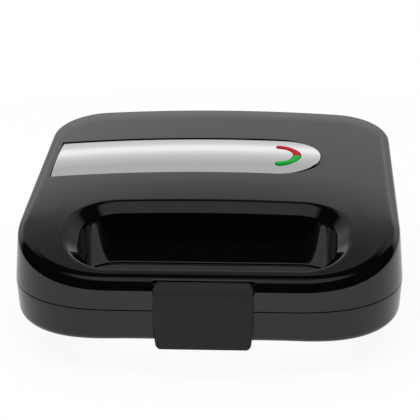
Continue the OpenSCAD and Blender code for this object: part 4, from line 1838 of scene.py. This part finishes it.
@dataclass(frozen=True)
class BaseHousing(Shell):
    """Moulded base: rounded lower edge, flat belly on four legs, hand opening, keeper."""

    side: int = -1
    edge_r: float = 4.5
    inner_edge: float = 2.0
    rim: tuple[Pair, ...] = ((7.5, 0.0), (0.9, 0.0), (0.6, 6.5))
    rim_soft: Numbers = (0.0, 3.2, 0.0)
    rim_steps: int = 8
    inner_drop: float = 1.6
    inner_run: Pair = (4.4, 4.6)
    pad_y: Triple = (2.0, 4.8, 8.5)
    pad_z: Triple = (-12.0, -8.0, 1.4)
    leg_r: Pair = (10.5, 12.0)
    leg_bite: float = 0.4
    leg_sides: int = 64
    foot_stem: float = 3.0
    gland_z: float = -15.0
    gland_r: float = 5.6
    gland_run: Pair = (-6.0, 9.0)
    clamp_post: Triple = (10.0, 3.2, -18.4)
    clamp_in: float = 17.0

    def height(self, x: Value, y: Value) -> Value:
        """Depth of the base's underside."""
        return self.form.base_low(x, y)

    def rim_drop(self, far: float) -> float:
        """Drop of the rounded edge of the hand opening."""
        r = self.rim_soft[1]
        return r - math.sqrt(max(0.0, r**2 - max(0.0, r - far) ** 2))

    def build(self, latch: Latch, feet: Feet, plate: Plate) -> bpy.types.Object:
        """Makes the base's shell with its legs, ribs and posts, and cuts its recess and holes.

        Args:
            latch: The latch that it holds.
            feet: The feet under its legs.
            plate: The plate over it.

        Returns:
            The base's housing.
        """
        form, place = self.form, self.form.place
        made = Piece(place).loft(self.rings(), closed=True).build("base_shell")
        (upper_y, lower_y, back), (upper_z, lower_z, chin) = self.pad_y, self.pad_z
        blocks = [
            self.pad((upper_y, back), (upper_z, -self.gap - OVERLAP)),
            self.pad((lower_y, back), (chin - form.chin_h, lower_z)),
        ]
        inside = self.inside(plate)
        across, radius, top = self.clamp_post
        for side in (-1, 1):
            spot = (side * across, place.depth - self.clamp_in)
            inside.rod(Axis.Z, spot, self.wall / 2 - form.belly_h, top, radius, self.post_sides)
        holes = Piece(place)
        rear = (place.depth - self.wall + self.gland_run[0], place.depth + self.gland_run[1])
        holes.rod(Axis.Y, (0.0, self.gland_z), *rear, self.gland_r)
        legs = Piece(place)
        sole = feet.height - place.seam_z
        for spot in feet.spots:
            legs.rod(Axis.Z, spot, sole, self.wall - form.belly_h - self.leg_bite, self.leg_r, self.leg_sides)
            holes.rod(Axis.Z, spot, -place.seam_z, sole + feet.stem, self.foot_stem, self.post_sides)
        carve(made, [*blocks, inside.build("rib_tool"), legs.build("leg_tool")], Cut.JOIN)
        return carve(made, [latch.keeper_recess().build("keeper_tool"), holes.build("hole_tool")])

    def ears(self) -> bpy.types.Object:
        """Makes the four ears at the rear of the base, on both sides of the lid's barrels.

        Returns:
            The ears.
        """
        half, width = self.lid_knuckle / 2, self.base_knuckle
        inner, outer = self.hinge_x - half - self.ear_gap - width, self.hinge_x + half + self.ear_gap
        return self.barrels("base_ears", (inner, width), (outer, width))


# ---- studio ----


@dataclass(frozen=True)
class Panel:
    """One large soft panel of the room.

    Args:
        turn: Directions in degrees from straight behind the object, where it starts and where
            it is full.
        stops: Its brightness at some heights in degrees.
    """

    turn: Pair
    stops: tuple[Pair, ...]

    @property
    def level_stops(self) -> list[Pair]:
        """The stops with their heights as shares, from straight down to straight up."""
        return [((angle + 90) / 180, value) for angle, value in self.stops]


BACK_PANEL = Panel(
    (62.0, 50.0),
    (
        (-15, 0.3),
        (5, 0.6),
        (14, 0.8),
        (18, 1.12),
        (21, 1.08),
        (24, 0.84),
        (28, 0.65),
        (34, 0.52),
        (50, 0.54),
        (54, 0.44),
        (61, 0.0),
        (80, 0.0),
        (90, 0.2),
    ),
)
FRONT_PANEL = Panel((100.0, 128.0), ((56, 0.0), (64, 0.9), (78, 0.75), (90, 0.2)))


@dataclass(frozen=True)
class Studio:
    """Floor, light and camera.

    The object stands on a white floor in a soft white room that is dark in front of it, as a
    glossy black piece is usually lit.
    """

    turn: float = 3.36
    tilt: float = 20.88
    roll: float = -0.52
    distance: float = 1.3
    sensor: float = 36.0
    focal_px: float = 2203.0
    image_px: int = 420
    target: Triple = (0.9, 60.0, 39.3)
    reach: float = 50.0
    diffuse: float = 0.55
    dark: float = 0.012
    panel_tone: float = 0.8
    panels: tuple[Panel, ...] = (BACK_PANEL, FRONT_PANEL)
    floor_r: float = 0.43
    floor_sides: int = 96
    floor_colour: float = 0.93
    floor_rough: float = 0.8
    glow: float = 0.92
    # Painted light: how strongly the floor glows in reflections, and the span along Y over which that glow
    # fades from bright in front to dim behind.
    gloss_glow: float = 0.85
    floor_fade: Pair = (-0.3, 0.08)
    painted_floor_glow: Pair = (1.05, 0.6)
    lamp_at: Triple = (-0.15, -0.3, 1.5)
    lamp_size: Pair = (1.6, 1.2)
    lamp_power: float = 17.0

    def camera(self, place: Place) -> None:
        """Places the camera.

        Args:
            place: Where the seam's frame lies.
        """
        a, e, roll = (math.radians(v) for v in (self.turn, self.tilt, self.roll))
        back = Vector((math.sin(a) * math.cos(e), -math.cos(a) * math.cos(e), math.sin(e)))
        right = (-back).cross(Vector((0, 0, 1))).normalized()
        up = right.cross(-back)
        rolled = right * math.cos(roll) + up * math.sin(roll)
        above = -right * math.sin(roll) + up * math.cos(roll)
        where = Vector(place.row(self.target)) + back * self.distance
        data = bpy.data.cameras.new("camera")
        data.sensor_width = self.sensor
        data.lens = data.sensor_width * self.focal_px / self.image_px
        data.clip_end = self.reach
        made = new_object("camera", data)
        made.matrix_world = Matrix.Translation(where) @ Matrix((rolled, above, back)).transposed().to_4x4()
        bpy.context.scene.camera = made

    def floor(self) -> None:
        """Makes the pale floor, which shows plain white to the camera and keeps the shadow. To glossy rays it
        is mostly a painted glow, brighter in front of the object and dimmer behind it, that stands in for the
        lit floor and hides most of the shadow in reflections.
        """
        edge = circle((0, 0), self.floor_r, self.floor_sides)
        made = new_object("floor", new_mesh("floor", level(edge, 0.0), [tuple(range(len(edge)))]))
        white = bpy.data.materials.new("floor_white")
        white.use_nodes = True
        white.cycles.emission_sampling = "NONE"
        tree = white.node_tree
        shader = tree.nodes["Principled BSDF"]
        feed(tree, shader, {"Base Color": grey(self.floor_colour), "Roughness": self.floor_rough})
        where = add_node(tree, "ShaderNodeTexCoord")
        parts = add_node(tree, "ShaderNodeSeparateXYZ", {0: where.outputs["Object"]})
        (near, far), (first, last) = self.floor_fade, self.painted_floor_glow
        ends = {"From Min": near, "From Max": far, "To Min": first, "To Max": last}
        # Painted light for reflections: the floor's glow fades from bright in front of the object to dim
        # behind it.
        fade = add_node(tree, "ShaderNodeMapRange", {"Value": parts.outputs["Y"], **ends})
        path = add_node(tree, "ShaderNodeLightPath").outputs
        shares = {"Factor": path["Is Glossy Ray"], "A": 1.0, "B": fade.outputs["Result"]}
        painted_glow = add_node(tree, "ShaderNodeMix", shares, data_type="FLOAT")
        glow = add_node(tree, "ShaderNodeEmission", {"Strength": painted_glow.outputs["Result"]})
        seen = {0: path["Is Camera Ray"], 1: self.glow}
        share = add_node(tree, "ShaderNodeMath", seen, operation="MULTIPLY")
        terms = {0: path["Is Glossy Ray"], 1: self.gloss_glow, 2: share.outputs[0]}
        bright = add_node(tree, "ShaderNodeMath", terms, operation="MULTIPLY_ADD")
        sides = {0: bright.outputs[0], 1: shader.outputs[0], 2: glow.outputs[0]}
        blend = add_node(tree, "ShaderNodeMixShader", sides)
        feed(tree, tree.nodes["Material Output"], {"Surface": blend.outputs[0]})
        made.data.materials.append(white)
        made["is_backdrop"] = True

    def room(self) -> None:
        """Lights the scene from all round, with a dark part in front for the gloss to show."""
        world = bpy.data.worlds.new("room")
        bpy.context.scene.world = world
        world.use_nodes = True
        world.cycles.sampling_method = "NONE"
        tree = world.node_tree
        tree.nodes.clear()
        where = add_node(tree, "ShaderNodeTexCoord")
        parts = add_node(tree, "ShaderNodeSeparateXYZ", {0: where.outputs["Generated"]}).outputs

        def calculated(operation: str, *values: object) -> bpy.types.NodeSocket:
            """Result of a calculation with numbers or outputs of nodes."""
            inputs = dict(enumerate(values))
            return add_node(tree, "ShaderNodeMath", inputs, operation=operation).outputs[0]

        rise = calculated("MULTIPLY_ADD", calculated("ARCSINE", parts["Z"]), 1 / math.pi, 0.5)
        turn = calculated("ABSOLUTE", calculated("ARCTAN2", parts["X"], parts["Y"]))
        gloss = self.dark
        for panel in self.panels:
            ramp = add_node(tree, "ShaderNodeValToRGB", {0: rise})
            items = ramp.color_ramp.elements
            for _ in panel.stops[len(items) :]:
                items.new(1)
            for item, (height, value) in zip(items, panel.level_stops):
                item.position = height
                item.color = grey(value)
            start, full = (math.radians(v) for v in panel.turn)
            ends = {"Value": turn, "From Min": start, "From Max": full}
            side = add_node(tree, "ShaderNodeMapRange", ends, interpolation_type="SMOOTHSTEP")
            share = calculated("MULTIPLY", ramp.outputs["Color"], side.outputs["Result"])
            gloss = calculated("ADD", share, gloss)
        path = add_node(tree, "ShaderNodeLightPath").outputs
        plain, shiny, white = (
            add_node(tree, "ShaderNodeBackground", {"Color": grey(tone), "Strength": strength}).outputs[0]
            for tone, strength in ((1.0, self.diffuse), (self.panel_tone, gloss), (1.0, 1.0))
        )
        first = add_node(tree, "ShaderNodeMixShader", {0: path["Is Glossy Ray"], 1: plain, 2: shiny})
        second = add_node(
            tree, "ShaderNodeMixShader", {0: path["Is Camera Ray"], 1: first.outputs[0], 2: white}
        )
        add_node(tree, "ShaderNodeOutputWorld", {"Surface": second.outputs[0]})

    def lamp(self) -> None:
        """Adds a large soft lamp over the object, for its colours and its shadow."""
        data = bpy.data.lights.new("overhead", "AREA")
        data.shape = "RECTANGLE"
        data.size, data.size_y = self.lamp_size
        data.energy = self.lamp_power
        made = new_object("overhead", data)
        made.location = self.lamp_at
        made.rotation_euler = (-Vector(self.lamp_at)).to_track_quat("-Z", "Y").to_euler()
        made.visible_glossy = False

    def build(self, place: Place) -> None:
        """Makes the whole studio.

        Args:
            place: Where the seam's frame lies.
        """
        bpy.context.scene.view_settings.view_transform = "Standard"
        self.floor()
        self.room()
        self.lamp()
        self.camera(place)


def write_sizes(stage: str, sizes: list[dict[str, object]]) -> None:
    """Args:
        stage: When they are taken.
        sizes: The bounds kept so far, which these join.
    """
    low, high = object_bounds()
    sizes.append({"stage": stage, "low": [float(v) for v in low], "high": [float(v) for v in high]})


def main() -> None:
    """Builds every piece and the studio."""
    logging.basicConfig(level=logging.INFO, format="%(name)s: %(message)s")
    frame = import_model()
    sizes = []
    write_sizes("packed frame", sizes)
    place = Place.read()
    form, latch, feet, screw = Form(place), Latch(place), Feet(place), Screw()
    lid, base, strip = LidHousing(form), BaseHousing(form), Strip(form)
    lower, upper = Plate(form, "lower_plate", -1, 12.0), Plate(form, "upper_plate", 1, 10.0)
    for finish, nodes in KEPT.items():
        for name in nodes:
            paint(frame["nodes"][name], finish)
            log.info("%s: packed piece in %s", name, finish.name)
    dress(base.build(latch, feet, lower), Body.BASE, Slot.GLOSS, "base_housing")
    dress(base.ears(), Body.BASE, Slot.GLOSS)
    dress(feet.build(), Body.BASE, Slot.RUBBER, *feet.nodes)
    for body, plate in ((Body.BASE, lower), (Body.LID, upper)):
        dress(plate.build(), body, Slot.NON_STICK, plate.node)
        dress(screw.set(plate), body, Slot.SCREW, f"{plate.node}_screws")
    dress(lid.build(latch, strip, upper), Body.LID, Slot.GLOSS, "lid_housing")
    dress(lid.knuckles(), Body.LID, Slot.GLOSS)
    dress(strip.build(), Body.LID, Slot.SATIN, "trim_strip")
    dress(strip.lens("red_lens", 1), Body.LID, Slot.RED, "power_lens")
    dress(strip.lens("green_lens", -1), Body.LID, Slot.GREEN, "ready_lens")
    dress(latch.build(), Body.LATCH, Slot.MATTE, "latch")
    Studio().build(place)
    write_sizes("finished", sizes)


if __name__ == "__main__":
    main()
